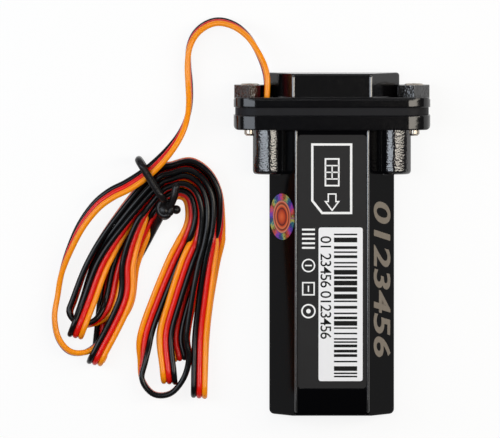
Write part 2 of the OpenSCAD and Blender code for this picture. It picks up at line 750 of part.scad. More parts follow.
hank_path = concat(
    [for (u = [hank_start, 0.75, 1]) leg_at(tip_l, a_left, hank_runs, hank_runs, u)],
    fold(-1),
    [for (j = [0:hank_runs - 1]) each concat(strand(j), j < hank_runs - 1 ? fold(j) : [])]);
hank_last = len(hank_path) - 1;

function flat(p) = [p[0], p[1], p[2]];
function path_len(path, i = 0) = i >= len(path) - 1 ? 0 :
    norm(flat(path[i + 1]) - flat(path[i])) + path_len(path, i + 1);

// Least gap between two stretches that are not neighbours, measured at every ring and half way between rings
hank_points = [for (i = [0:hank_last - 1], h = [0, 0.5]) blend(flat(hank_path[i]), flat(hank_path[i + 1]), h)];
module echo_hank() {
    gap = min([for (i = [0:len(hank_points) - 1], k = [i + 8:1:len(hank_points) - 1])
        norm(hank_points[i] - hank_points[k])]) - wire_d;
    echo(hank_gap = gap, hank_length = path_len(hank_path), lead_length = path_len(lead_path));
}

module cable_hank() {
    color([0.9, 0.45, 0.1]) ribbon(hank_path, ring6_share);
}

// Lead: out of the cap, down in a loop, over the hank at the tie and into its outermost strand. The route is
// measured from the cap's outlet in X and Y, and from the floor in Z
lead_route = [
    [0, 0, 8.8, -90], [0, 4.5, 8.8, -90], [-0.7, 8, 8.6, -90], [-2.5, 12, 7.7, -90], [-5, 15.5, 6.2, -90],
    [-8.5, 18, 4.6, -90], [-12.5, 19, 3.2, -90], [-16, 18.2, 2.6, -90], [-18.7, 16, 2.4, -90],
    [-20.3, 12.5, 2.4, -90], [-20.7, 8, 2.4, -80], [-20.5, 3.5, 2.8, -65], [-20.4, -1, 3.8, -45],
    [-20.9, -5, 5.6, -25], [-22.3, -9, 7.4, -10], [-24.8, -13, 8.4, 0], [-28.3, -17, 8.5, 0],
    [-32.3, -20.5, 8.5, 0], [-36.7, -23.4, 8.5, -5], [-41, -25.6, 8.3, -20], [-44.8, -28.6, 7.3, -45],
    [-46.6, -32.6, 5.6, -75]];
lead_end = hank_path[0];
lead_step = (hank_path[1] - hank_path[0]) / norm(hank_path[1] - hank_path[0]) * ribbon_w;
lead_path = concat(
    [for (p = lead_route) [p[0] - exit_x, p[1] + y_cap, p[2], p[3]]],
    [lead_end - [lead_step[0], lead_step[1], 0, 0], lead_end]);
module cable_lead() {
    color([0.9, 0.45, 0.1]) ribbon(lead_path, ring8_share);
}

// Tie: coated wire round the lead and the hank at the bend, with its knot and two free ends
tie_angle = 122;
tie_sides = 8;
tie_corner = 1.2 * tie_d;
knot_z = 6;
tie_in = bend_r + bend_off(0) - wire_d / 2 - tie_d / 2 - seat;
tie_out = bend_r + bend_off(hank_runs - 1) + wire_d / 2 + tie_d / 2 + seat;
tie_top = max([for (p = lead_route) if (p[3] == 0) p[2]]) + wire_d / 2 + tie_d / 2 + seat;
knot_at = bend_c + polar(tie_in, tie_angle) - [0, 0.7 * knot_d];
// The free ends, measured from the knot in X and Y, and from the floor in Z
tail_route = [[0, 0, 6], [-0.3, -2.6, 4.6], [-0.9, -5.6, 1.8], [-1.7, -9, 1.1], [-2.7, -13.5, 1.1]];
stub_route = [[0, 0, 6], [1.4, 0.6, 8], [2.6, 3.2, 9.2], [3.2, 6, 9.4]];

module round_wire(path, side, closed) {
    last = len(path) - 1;
    polyhedron(
        points = [for (i = [0:last]) let (
                a = path[closed ? (i + last) % (last + 1) : max(i - 1, 0)],
                b = path[closed ? (i + 1) % (last + 1) : min(i + 1, last)],
                t = (b - a) / norm(b - a),
                v = cross(t, side) / norm(cross(t, side)),
                w = cross(v, t))
            each [for (k = [0:tie_sides - 1]) path[i] + tie_d / 2
                * (cos(360 * k / tie_sides) * v + sin(360 * k / tie_sides) * w)]],
        faces = tube_faces(last + 1, tie_sides, closed));
}

module cable_tie() {
    loop = soft_rect(tie_in, tie_d / 2, tie_out, tie_top, tie_corner, tie_corner);
    color([0.06, 0.06, 0.06]) {
        round_wire([for (p = loop) let (q = bend_c + polar(p[0], tie_angle)) [q[0], q[1], p[1]]],
            [-sin(tie_angle), cos(tie_angle), 0], true);
        translate([knot_at[0], knot_at[1], knot_z]) sphere(d = knot_d, $fn = 12);
        for (route = [tail_route, stub_route])
            round_wire([for (p = route) [knot_at[0] + p[0], knot_at[1] + p[1], p[2]]], [0, 0, 1], false);
    }
}

case_body();
front_label();
id_label();
seal_sticker();
thread_inserts();
main_board();
board_screws();
battery();
satellite_antenna();
radio_module();
receiver_module();
radio_antenna();
board_chips();
power_parts();
status_lights();
sim_holder();
sim_card();
power_switch();
switch_knob();
board_socket();
end_cap();
gasket();
cable_seal();
inner_lead();
lead_plug();
screw_left();
screw_right();
cable_lead();
cable_hank();
cable_tie();
echo_hank();  // cable_hank
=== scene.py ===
"""Looks of a waterproof vehicle tracker with a tied hank of three-wire ribbon cable.

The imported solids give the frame. This script gives them their finishes, dresses the mouldings with rounded
edges, prints the labels and lays the ribbon cable as three bonded wires. Lengths in the classes are in
millimetres, in the solids' own frame, and become metres where a mesh is made.
"""

from __future__ import annotations

import json
import logging
import math
from collections.abc import Sequence
from dataclasses import dataclass
from enum import Enum

import bmesh
import bpy
import numpy as np
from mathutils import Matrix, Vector

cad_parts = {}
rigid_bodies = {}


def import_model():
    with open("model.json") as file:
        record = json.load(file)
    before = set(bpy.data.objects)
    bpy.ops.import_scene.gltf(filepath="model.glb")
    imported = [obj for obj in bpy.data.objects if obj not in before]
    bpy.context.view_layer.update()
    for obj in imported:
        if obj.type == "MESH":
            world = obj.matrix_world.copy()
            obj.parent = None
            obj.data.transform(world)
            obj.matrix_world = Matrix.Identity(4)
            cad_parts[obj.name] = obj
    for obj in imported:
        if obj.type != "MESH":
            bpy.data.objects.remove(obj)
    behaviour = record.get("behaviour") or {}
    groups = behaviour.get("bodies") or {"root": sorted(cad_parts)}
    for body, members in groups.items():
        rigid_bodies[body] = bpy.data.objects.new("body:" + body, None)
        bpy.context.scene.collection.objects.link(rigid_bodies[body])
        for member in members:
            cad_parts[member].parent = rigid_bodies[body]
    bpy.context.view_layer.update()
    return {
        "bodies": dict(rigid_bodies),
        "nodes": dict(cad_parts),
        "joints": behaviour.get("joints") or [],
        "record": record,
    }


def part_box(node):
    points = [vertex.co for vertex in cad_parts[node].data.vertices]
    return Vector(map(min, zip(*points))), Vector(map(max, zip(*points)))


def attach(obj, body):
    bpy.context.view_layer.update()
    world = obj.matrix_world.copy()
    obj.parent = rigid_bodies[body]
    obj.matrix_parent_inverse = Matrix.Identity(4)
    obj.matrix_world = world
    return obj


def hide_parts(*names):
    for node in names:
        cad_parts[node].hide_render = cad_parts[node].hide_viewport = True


LOG = logging.getLogger("tracker")
MM = 0.001
Point = tuple[float, float]
Place = tuple[float, float, float]
Rolled = tuple[float, float, float, float]
Corners = tuple[float, float, float, float]
Ends = tuple[float, float, float]
Colour = tuple[float, float, float]
Outline = Sequence[Point]


class Wire(Enum):
    """The ribbon's three wires, by their place across it in pitches."""

    BLACK = 1
    RED = 0
    ORANGE = -1


class Side(Enum):
    """The housing's two long sides."""

    LEFT = -1
    RIGHT = 1


def in_scene(name: str, data: bpy.types.ID) -> bpy.types.Object:
    """Puts a mesh, curve, lamp or camera into the scene as an object at the origin.

    Args:
        name: The object's name.
        data: What it shows.

    Returns:
        The object.
    """
    piece = bpy.data.objects.new(name, data)
    bpy.context.scene.collection.objects.link(piece)
    return piece


def unit(rows: np.ndarray) -> np.ndarray:
    """Each row divided by its length."""
    return rows / np.linalg.norm(rows, axis=-1, keepdims=True)


# Finishes


def sum_node(tree: bpy.types.NodeTree, operation: str, *values: bpy.types.NodeSocket | float
             ) -> bpy.types.NodeSocket:
    """A node that works out one sum.

    Args:
        tree: The material's nodes.
        operation: The kind of sum.
        values: What goes in, in order: other nodes' results, or plain numbers.

    Returns:
        The result.
    """
    node = tree.nodes.new("ShaderNodeMath")
    node.operation = operation
    for socket, value in zip(node.inputs, values):
        if isinstance(value, bpy.types.NodeSocket):
            tree.links.new(value, socket)
        else:
            socket.default_value = value
    return node.outputs["Value"]


@dataclass(frozen=True)
class Finish:
    """A surface finish: its colour, its gloss, and the grain and mottle that break it up.

    grain and mottle are the sizes of the bumps and of the colour clouds in millimetres, depth is the height
    of the bumps in millimetres, cloud is the share by which the colour varies, patches the share by which
    the roughness does, in spots a third of the clouds' size, and edge the radius that catches the light
    along sharp edges. cells makes the grain of small pits instead of soft noise. soft is how much light
    goes through, and soft_reach how far, in millimetres. The details are how many finer layers each noise
    has.
    """

    name: str
    color: Colour
    rough: float
    metal: float = 0.0
    coat: float = 0.0
    specular: float = 0.5
    grain: float = 0.6
    depth: float = 0.0
    mottle: float = 5.0
    cloud: float = 0.0
    patches: float = 0.15
    soft: float = 0.0
    edge: float = 0.0
    cells: bool = False
    coat_rough: float = 0.06
    soft_reach: float = 0.5
    edge_samples: int = 8
    mottle_detail: float = 3.0
    patch_detail: float = 5.0
    grain_detail: float = 2.0

    def make(self) -> bpy.types.Material:
        """Builds the node material on Object coordinates, once per name.

        Returns:
            The material.
        """
        known = bpy.data.materials.get(self.name)
        if known:
            return known
        material = bpy.data.materials.new(self.name)
        material.use_nodes = True
        tree = material.node_tree
        shader = tree.nodes["Principled BSDF"]
        place = tree.nodes.new("ShaderNodeTexCoord")
        shader.inputs["Metallic"].default_value = self.metal
        shader.inputs["Coat Weight"].default_value = self.coat
        shader.inputs["Coat Roughness"].default_value = self.coat_rough
        shader.inputs["Specular IOR Level"].default_value = self.specular
        shader.inputs["Subsurface Weight"].default_value = self.soft
        shader.inputs["Subsurface Scale"].default_value = self.soft_reach * MM
        shader.inputs["Base Color"].default_value = (*self.color, 1)
        if self.cloud:
            tint = tree.nodes.new("ShaderNodeMix")
            tint.data_type = "RGBA"
            tint.inputs["A"].default_value = (*[c * (1 - self.cloud) for c in self.color], 1)
            tint.inputs["B"].default_value = (*[min(1.0, c * (1 + self.cloud)) for c in self.color], 1)
            tree.links.new(self._noise(tree, place, self.mottle, self.mottle_detail), tint.inputs["Factor"])
            tree.links.new(tint.outputs["Result"], shader.inputs["Base Color"])
        gloss = tree.nodes.new("ShaderNodeMapRange")
        gloss.inputs["To Min"].default_value = self.rough * (1 - self.patches)
        gloss.inputs["To Max"].default_value = min(1.0, self.rough * (1 + self.patches))
        tree.links.new(self._noise(tree, place, self.mottle / 3, self.patch_detail), gloss.inputs["Value"])
        tree.links.new(gloss.outputs["Result"], shader.inputs["Roughness"])
        normal = None
        if self.edge:
            bevel = tree.nodes.new("ShaderNodeBevel")
            bevel.samples = self.edge_samples
            bevel.inputs["Radius"].default_value = self.edge * MM
            normal = bevel.outputs["Normal"]
        if self.depth:
            bump = tree.nodes.new("ShaderNodeBump")
            bump.inputs["Strength"].default_value = 1.0
            bump.inputs["Distance"].default_value = self.depth * MM
            tree.links.new(self._relief(tree, place), bump.inputs["Height"])
            if normal:
                tree.links.new(normal, bump.inputs["Normal"])
            normal = bump.outputs["Normal"]
        if normal:
            tree.links.new(normal, shader.inputs["Normal"])
        return material

    def _relief(self, tree: bpy.types.NodeTree, place: bpy.types.Node) -> bpy.types.NodeSocket:
        """The grain's height: small round pits, one for each cell of its size, or soft noise.

        Args:
            tree: The material's nodes.
            place: The texture coordinates.

        Returns:
            The height.
        """
        if not self.cells:
            return self._noise(tree, place, self.grain, self.grain_detail)
        cells = tree.nodes.new("ShaderNodeTexVoronoi")
        cells.inputs["Scale"].default_value = 1 / (self.grain * MM)
        tree.links.new(place.outputs["Object"], cells.inputs["Vector"])
        return cells.outputs["Distance"]

    @staticmethod
    def _noise(tree: bpy.types.NodeTree, place: bpy.types.Node, size: float, detail: float
               ) -> bpy.types.NodeSocket:
        """A noise whose blobs are size millimetres across.

        Args:
            tree: The material's nodes.
            place: The texture coordinates.
            size: Size of the blobs, in millimetres.
            detail: How many finer layers it has.

        Returns:
            The noise's value.
        """
        noise = tree.nodes.new("ShaderNodeTexNoise")
        noise.inputs["Scale"].default_value = 1 / (size * MM)
        noise.inputs["Detail"].default_value = detail
        tree.links.new(place.outputs["Object"], noise.inputs["Vector"])
        return noise.outputs["Fac"]


GLOSS_BLACK = Finish("gloss_black", (0.0015, 0.0015, 0.002), 0.1, specular=0.025, grain=3.0, depth=0.004,
                     patches=0.4, edge=0.9)
DOME_BLACK = Finish("dome_black", (0.003, 0.003, 0.0035), 0.12, specular=0.35, grain=0.52, depth=0.02,
                    patches=0.3, edge=0.8, cells=True)
EDGE_BLACK = Finish("edge_black", (0.003, 0.003, 0.004), 0.18, coat=0.7, specular=1.0, grain=0.6,
                    depth=0.012, patches=0.4)
PEEL_BLACK = Finish("peel_black", (0.003, 0.003, 0.004), 0.09, specular=1.0, grain=0.46, depth=0.036,
                    patches=0.3, cells=True)
COLLAR_BLACK = Finish("collar_black", (0.004, 0.004, 0.005), 0.22, specular=1.0, grain=0.6, depth=0.09,
                      patches=0.3, cells=True)
END_BLACK = Finish("end_black", (0.002, 0.002, 0.0028), 0.1, specular=0.42, grain=0.8, depth=0.01,
                   patches=0.35, edge=0.6)
FLANGE_BLACK = Finish("flange_black", (0.002, 0.002, 0.0028), 0.16, specular=0.2, grain=0.8, depth=0.01,
                      patches=0.35, cloud=0.2, edge=0.6)
GASKET_GREY = Finish("gasket_grey", (0.012, 0.012, 0.014), 0.5, specular=0.12, grain=0.35, depth=0.03,
                     cloud=0.15, mottle=3.0)
SEAL_BLACK = Finish("seal_black", (0.012, 0.012, 0.013), 0.55, grain=0.3, depth=0.02, cloud=0.1)
LABEL_GREY = Finish("label_grey", (0.021, 0.0205, 0.0213), 0.36, specular=0.12, grain=0.18, depth=0.006,
                    cloud=0.06)
PRINT_WHITE = Finish("print_white", (0.87, 0.87, 0.87), 0.5, grain=0.1, depth=0.004, cloud=0.03, mottle=1.0)
STICKER_WHITE = Finish("sticker_white", (0.84, 0.84, 0.86), 0.45, grain=0.25, depth=0.006, cloud=0.02,
                       mottle=3.0)
PRINT_BLACK = Finish("print_black", (0.004, 0.004, 0.004), 0.5, specular=0.15, grain=0.1, depth=0.004,
                     cloud=0.1, mottle=1.0)
PRINT_TAUPE = Finish("print_taupe", (0.17, 0.138, 0.1), 0.4, grain=0.12, depth=0.004, cloud=0.1, mottle=2.0)
SCREW_NICKEL = Finish("screw_nickel", (0.4, 0.36, 0.31), 0.26, metal=1.0, grain=0.12, depth=0.006,
                      cloud=0.12, mottle=1.0)
BRASS = Finish("insert_brass", (0.72, 0.5, 0.2), 0.3, metal=1.0, grain=0.2, depth=0.01, cloud=0.1)
TINNED = Finish("tinned_steel", (0.7, 0.7, 0.68), 0.32, metal=1.0, grain=0.3, depth=0.006, cloud=0.06)
BOARD_GREEN = Finish("board_green", (0.012, 0.09, 0.035), 0.35, coat=0.4, grain=0.5, depth=0.006,
                     cloud=0.2, mottle=2.0)
FOIL = Finish("battery_foil", (0.62, 0.63, 0.65), 0.38, metal=0.9, grain=1.4, depth=0.03, cloud=0.08)
CERAMIC = Finish("antenna_ceramic", (0.62, 0.52, 0.34), 0.5, grain=0.2, depth=0.006, cloud=0.08, mottle=1.5)
RESIN = Finish("chip_resin", (0.02, 0.02, 0.022), 0.5, grain=0.15, depth=0.008, cloud=0.15, mottle=1.0)
CLEAR_RESIN = Finish("light_resin", (0.6, 0.75, 0.45), 0.2, grain=0.3, depth=0.004, cloud=0.06, soft=0.3)
CARD_WHITE = Finish("card_white", (0.82, 0.82, 0.8), 0.4, grain=0.2, depth=0.004, cloud=0.03)
CREAM = Finish("connector_cream", (0.78, 0.74, 0.6), 0.42, grain=0.3, depth=0.006, cloud=0.05, soft=0.1)
TIE_BLACK = Finish("tie_black", (0.006, 0.005, 0.0055), 0.28, specular=0.25, grain=0.9, depth=0.02,
                   cloud=0.2, mottle=2.0)
WIRES = {
    Wire.BLACK: Finish("wire_black", (0.003, 0.003, 0.0035), 0.2, specular=0.22, grain=1.6, depth=0.02,
                       patches=0.35, mottle=6.0),
    Wire.RED: Finish("wire_red", (0.72, 0.008, 0.004), 0.26, specular=0.3, grain=1.6, depth=0.02,
                     cloud=0.12, soft=0.08, mottle=8.0),
    Wire.ORANGE: Finish("wire_orange", (0.95, 0.29, 0.003), 0.26, specular=0.3, grain=1.6, depth=0.02,
                        cloud=0.06, soft=0.08, mottle=8.0),
}

NODE_FINISH: dict[str, Finish] = {
    "thread_inserts": BRASS, "main_board": BOARD_GREEN, "board_screws": SCREW_NICKEL, "battery": FOIL,
    "satellite_antenna": CERAMIC, "radio_module": TINNED, "receiver_module": TINNED,
    "radio_antenna": CERAMIC, "board_chips": RESIN, "power_parts": RESIN, "status_lights": CLEAR_RESIN,
    "sim_holder": TINNED, "sim_card": CARD_WHITE, "power_switch": TINNED, "switch_knob": RESIN,
    "board_socket": CREAM, "lead_plug": CREAM, "cable_seal": SEAL_BLACK, "front_label": LABEL_GREY,
    "id_label": STICKER_WHITE,
}


@dataclass(frozen=True)
class FoilFinish:
    """Foil of the round seal sticker: a warm sunburst inside a rim that shifts through the rainbow.

    The pattern follows the sticker's own UV map, where u is the distance from the centre and v the angle.
    """

    name: str = "seal_foil"
    rim: float = 0.72
    rainbows: float = 5.0
    warp_per_mm: float = 1.7
    warp_detail: float = 4.0
    warp_rough: float = 0.8
    rough: float = 0.3
    specular: float = 0.15
    sunburst: tuple[tuple[float, Colour], ...] = (
        (0.0, (0.75, 0.13, 0.03)), (0.2, (0.6, 0.06, 0.01)), (0.32, (0.3, 0.02, 0.01)),
        (0.35, (0.01, 0.003, 0.005)), (0.42, (0.7, 0.08, 0.02)), (0.5, (0.75, 0.2, 0.08)),
        (0.55, (0.01, 0.003, 0.005)), (0.61, (0.6, 0.07, 0.02)), (0.67, (0.7, 0.3, 0.2)),
        (0.72, (0.01, 0.005, 0.02)))
    rainbow: tuple[tuple[float, Colour], ...] = (
        (0.0, (0.1, 0.05, 0.45)), (0.16, (0.01, 0.02, 0.1)), (0.3, (0.02, 0.25, 0.25)),
        (0.42, (0.6, 0.5, 0.05)), (0.54, (0.02, 0.01, 0.02)), (0.7, (0.7, 0.09, 0.02)),
        (0.85, (0.35, 0.03, 0.3)), (1.0, (0.1, 0.05, 0.45)))

    def make(self) -> bpy.types.Material:
        """Builds the node material: noise warps the rainbows that follow each other round the rim.

        Returns:
            The material.
        """
        material = bpy.data.materials.new(self.name)
        material.use_nodes = True
        tree = material.node_tree
        shader = tree.nodes["Principled BSDF"]
        place = tree.nodes.new("ShaderNodeTexCoord")
        parts = tree.nodes.new("ShaderNodeSeparateXYZ")
        tree.links.new(place.outputs["UV"], parts.inputs["Vector"])
        warp = tree.nodes.new("ShaderNodeTexNoise")
        warp.inputs["Scale"].default_value = self.warp_per_mm / MM
        warp.inputs["Detail"].default_value = self.warp_detail
        warp.inputs["Roughness"].default_value = self.warp_rough
        tree.links.new(place.outputs["Object"], warp.inputs["Vector"])
        turns = sum_node(tree, "MULTIPLY_ADD", parts.outputs["Y"], self.rainbows, warp.outputs["Fac"])
        mix = tree.nodes.new("ShaderNodeMix")
        mix.data_type = "RGBA"
        tree.links.new(sum_node(tree, "GREATER_THAN", parts.outputs["X"], self.rim), mix.inputs["Factor"])
        tree.links.new(self._ramp(tree, parts.outputs["X"], self.sunburst), mix.inputs["A"])
        tree.links.new(self._ramp(tree, sum_node(tree, "FRACT", turns), self.rainbow), mix.inputs["B"])
        tree.links.new(mix.outputs["Result"], shader.inputs["Base Color"])
        shader.inputs["Roughness"].default_value = self.rough
        shader.inputs["Specular IOR Level"].default_value = self.specular
        return material

    @staticmethod
    def _ramp(tree: bpy.types.NodeTree, value: bpy.types.NodeSocket, stops: tuple[tuple[float, Colour], ...]
              ) -> bpy.types.NodeSocket:
        """A colour ramp over a value.

        Args:
            tree: The material's nodes.
            value: The value that picks the colour.
            stops: Places along the ramp and their colours.

        Returns:
            The colour.
        """
        ramp = tree.nodes.new("ShaderNodeValToRGB")
        steps = ramp.color_ramp.elements
        for place, color in stops[1:-1]:
            steps.new(place).color = (*color, 1)
        for step, (place, color) in ((steps[0], stops[0]), (steps[-1], stops[-1])):
            step.position = place
            step.color = (*color, 1)
        tree.links.new(value, ramp.inputs["Fac"])
        return ramp.outputs["Color"]


# Surfaces

# Upright share of a heading above which a bar's first circle is set out from X instead of Z
STEEP = 0.9
# Rings of a bar's round end, in degrees round from the bar, tip first, and the tip's share of the radius
DOME_ANGLES = (90, 60, 30)
DOME_TIP = 0.05
# No edge of a ball is sharper than this angle, in degrees
SMOOTH_ALL = 80.0
# Least cosine of half the turn with which a mitre is worked out
LEAST_MITRE = 0.4


def mesh_piece(name: str, points: np.ndarray, faces: list[list[int]], finish: Finish | FoilFinish,
               smooth_above: float | None = 40.0) -> bpy.types.Object:
    """Puts points in millimetres and their faces into a mesh at the origin.

    Args:
        name: The piece's name.
        points: The points, in millimetres.
        faces: Corner numbers of each face.
        finish: The piece's finish.
        smooth_above: Edges sharper than this angle stay sharp, in degrees; None leaves every face flat.

    Returns:
        The piece.
    """
    mesh = bpy.data.meshes.new(name)
    mesh.from_pydata((points * MM).tolist(), [], faces)
    mesh.validate()
    mesh.materials.append(finish.make())
    if smooth_above is not None:
        mesh.polygons.foreach_set("use_smooth", np.ones(len(mesh.polygons), bool))
        mesh.set_sharp_from_angle(angle=math.radians(smooth_above))
    return in_scene(name, mesh)


def grid_faces(rows: int, cols: int, closed: bool = False) -> np.ndarray:
    """Quads of a grid whose columns close on themselves: each joins a point to its neighbours in both ways.

    Args:
        rows: Number of rings.
        cols: Number of points in a ring.
        closed: Whether the last ring joins the first.

    Returns:
        The quads' corner numbers.
    """
    i, k = np.meshgrid(np.arange(rows if closed else rows - 1), np.arange(cols), indexing="ij")
    a, b = i * cols + k, i * cols + (k + 1) % cols
    c, d = (i + 1) % rows * cols + k, (i + 1) % rows * cols + (k + 1) % cols
    return np.stack([a, b, d, c], axis=-1).reshape(-1, 4)


def solid_faces(rings: int, sides: int) -> list[list[int]]:
    """Faces of a solid that is laid out in rings: the quads between the rings and a lid at each end.

    Args:
        rings: Number of rings.
        sides: Number of points in a ring.

    Returns:
        The faces' corner numbers.
    """
    last = (rings - 1) * sides
    return grid_faces(rings, sides).tolist() + [list(range(sides))[::-1], [last + k for k in range(sides)]]


def smooth_path(points: np.ndarray, step: float, cuts: int = 24) -> np.ndarray:
    """A smooth line through the points: each stretch is the cubic whose slopes at its ends are half the
    difference of the neighbours, and the whole is then cut into even steps.

    Args:
        points: The points that it passes, one row each; columns past the third are carried along.
        step: Distance between the line's points, in millimetres.
        cuts: Number of short straight lines that first stand for each stretch.

    Returns:
        The line's points.
    """
    p = np.vstack([2 * points[0] - points[1], points, 2 * points[-1] - points[-2]])
    t = np.linspace(0, 1, cuts, endpoint=False)[None, :, None]
    p0, p1, p2, p3 = (p[i:len(p) - 3 + i][:, None, :] for i in range(4))
    line = 0.5 * (2 * p1 + (p2 - p0) * t + (2 * p0 - 5 * p1 + 4 * p2 - p3) * t**2
                  + (3 * p1 - 3 * p2 + p3 - p0) * t**3)
    line = np.vstack([line.reshape(-1, points.shape[1]), points[-1:]])
    along = np.r_[0, np.cumsum(np.linalg.norm(np.diff(line[:, :3], axis=0), axis=1))]
    even = np.linspace(0, along[-1], max(2, round(along[-1] / step)) + 1)
    return np.stack([np.interp(even, along, line[:, k]) for k in range(line.shape[1])], axis=1)


def tube(name: str, path: np.ndarray, radius: float, finish: Finish, sides: int = 12, round_ends: bool = True
         ) -> bpy.types.Object:
    """A round bar along a path: at each point a circle square to the path, turned as little as can be from
    the one before. Round ends close it with rings whose radius falls as a quarter circle.

    Args:
        name: The piece's name.
        path: The centreline, in millimetres.
        radius: The bar's radius, in millimetres.
        finish: Its finish.
        sides: Corners of a ring.
        round_ends: Whether the ends are domes or cut square.

    Returns:
        The piece.
    """
    tangent = unit(np.gradient(path, axis=0))
    across = np.empty_like(path)
    side = np.cross(tangent[0], [0.0, 0.0, 1.0] if abs(tangent[0][2]) < STEEP else [1.0, 0.0, 0.0])
    for i, t in enumerate(tangent):
        side = side - t * (side @ t)
        side /= np.linalg.norm(side)
        across[i] = side
    if round_ends:
        lean = np.radians(DOME_ANGLES)
        start = path[0] - tangent[0] * radius * np.sin(lean)[:, None]
        end = path[-1] + tangent[-1] * radius * np.sin(lean[::-1])[:, None]
        size = np.r_[np.cos(lean), np.ones(len(path)), np.cos(lean[::-1])] * radius
        path = np.vstack([start, path, end])
        tangent, across = (np.pad(rows, ((len(lean), len(lean)), (0, 0)), mode="edge")
                           for rows in (tangent, across))
        size[[0, -1]] = radius * DOME_TIP
    else:
        size = np.full(len(path), radius)
    up = np.cross(tangent, across)
    a = np.linspace(0, 2 * math.pi, sides, endpoint=False)[None, :, None]
    rings = path[:, None] + size[:, None, None] * (np.cos(a) * across[:, None] - np.sin(a) * up[:, None])
    return mesh_piece(name, rings.reshape(-1, 3), solid_faces(len(path), sides), finish)


def ball(name: str, centre: np.ndarray, radii: Place, finish: Finish, rings: int = 15, sides: int = 24,
         last: float = 88.0) -> bpy.types.Object:
    """A ball stretched by three radii: rings whose radius is the cosine of their height's angle.

    Args:
        name: The piece's name.
        centre: Its centre, in millimetres.
        radii: Its radii along X, Y and Z.
        finish: Its finish.
        rings: Number of rings.
        sides: Corners of a ring.
        last: Angle of the last ring over the middle, in degrees.

    Returns:
        The piece.
    """
    rise = np.radians(np.linspace(-last, last, rings))[:, None]
    a = np.linspace(0, 2 * math.pi, sides, endpoint=False)[None, :]
    points = np.stack([np.cos(rise) * np.cos(a), np.cos(rise) * np.sin(a), np.sin(rise) + 0 * a], axis=-1)
    return mesh_piece(name, np.asarray(centre) + points.reshape(-1, 3) * radii, solid_faces(rings, sides),
                      finish, SMOOTH_ALL)


def prism(name: str, outline: Outline, low: float, high: float, finish: Finish) -> bpy.types.Object:
    """A flat plate: an outline in the XY plane, running anticlockwise, carried from one height to another.

    Args:
        name: The piece's name.
        outline: The corners, in millimetres.
        low: Height of its underside.
        high: Height of its top.
        finish: Its finish.

    Returns:
        The piece.
    """
    flat = np.array(outline, float)
    n = len(flat)
    points = np.vstack([np.c_[flat, np.full(n, low)], np.c_[flat, np.full(n, high)]])
    return mesh_piece(name, points, solid_faces(2, n), finish, None)


def band(name: str, line: Outline, width: float, low: float, high: float, finish: Finish, closed: bool = True
         ) -> bpy.types.Object:
    """A printed line: a flat rectangle carried along a line in the XY plane, mitred at its corners, where
    the half width grows by one over the cosine of half the turn.

    Args:
        name: The piece's name.
        line: The line's corners, in millimetres.
        width: The line's width.
        low: Height of its underside.
        high: Height of its top.
        finish: Its finish.
        closed: Whether it runs back to its start.

    Returns:
        The piece.
    """
    p = np.array(line, float)
    ahead = np.roll(p, -1, axis=0) - p
    behind = p - np.roll(p, 1, axis=0)
    if not closed:
        ahead[-1], behind[0] = behind[-1], ahead[0]
    ahead = unit(ahead)
    turn = unit(ahead + unit(behind))
    grow = width / 2 / np.clip((turn * ahead).sum(1), LEAST_MITRE, 1)
    out = np.stack([-turn[:, 1], turn[:, 0]], axis=1) * grow[:, None]
    ring = np.stack([
        np.c_[p - out, np.full(len(p), low)], np.c_[p - out, np.full(len(p), high)],
        np.c_[p + out, np.full(len(p), high)], np.c_[p + out, np.full(len(p), low)]], axis=1)
    faces = grid_faces(len(p), 4, closed).tolist()
    if not closed:
        last = (len(p) - 1) * 4
        faces += [[3, 2, 1, 0], [last, last + 1, last + 2, last + 3]]
    return mesh_piece(name, ring.reshape(-1, 3), [f[::-1] for f in faces], finish, None)


def circle(x: float, y: float, r: float, corners: int = 40) -> Outline:
    """Corners of a circle round [x, y], anticlockwise."""
    a = np.linspace(0, 2 * math.pi, corners, endpoint=False)
    return list(zip(x + r * np.cos(a), y + r * np.sin(a)))


def rectangle(x0: float, y0: float, x1: float, y1: float) -> Outline:
    """Corners of a rectangle, anticlockwise."""
    return [(x0, y0), (x1, y0), (x1, y1), (x0, y1)]


def joined(name: str, pieces: list[bpy.types.Object]) -> bpy.types.Object:
    """Joins meshes into one piece.

    Args:
        name: The joined piece's name.
        pieces: The meshes, which share one finish.

    Returns:
        The piece.
    """
    shell = bmesh.new()
    for piece in pieces:
        shell.from_mesh(piece.data)
    mesh = bpy.data.meshes.new(name)
    shell.to_mesh(mesh)
    shell.free()
    mesh.materials.append(pieces[0].data.materials[0])
    for piece in pieces:
        bpy.data.objects.remove(piece)
    return in_scene(name, mesh)


def vertices(mesh: bpy.types.Mesh) -> np.ndarray:
    """The mesh's points, one row each, in metres."""
    places = np.zeros(len(mesh.vertices) * 3)
    mesh.vertices.foreach_get("co", places)
    return places.reshape(-1, 3)


def move_vertices(mesh: bpy.types.Mesh, places: np.ndarray) -> None:
    """Puts the mesh's points in new places, given in metres."""
    mesh.vertices.foreach_set("co", places.ravel())
    mesh.update()


def face_centres(mesh: bpy.types.Mesh) -> np.ndarray:
    """The centres of the mesh's faces, one row each, in millimetres."""
    places = np.zeros(len(mesh.polygons) * 3)
    mesh.polygons.foreach_get("center", places)
    return places.reshape(-1, 3) / MM


# Mouldings


def moulded(piece: bpy.types.Object, body: str) -> None:
    """Lets a piece that belongs to the case's mouldings ride on a body."""
    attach(piece, body)
    LOG.info("%s: moulded", piece.name)


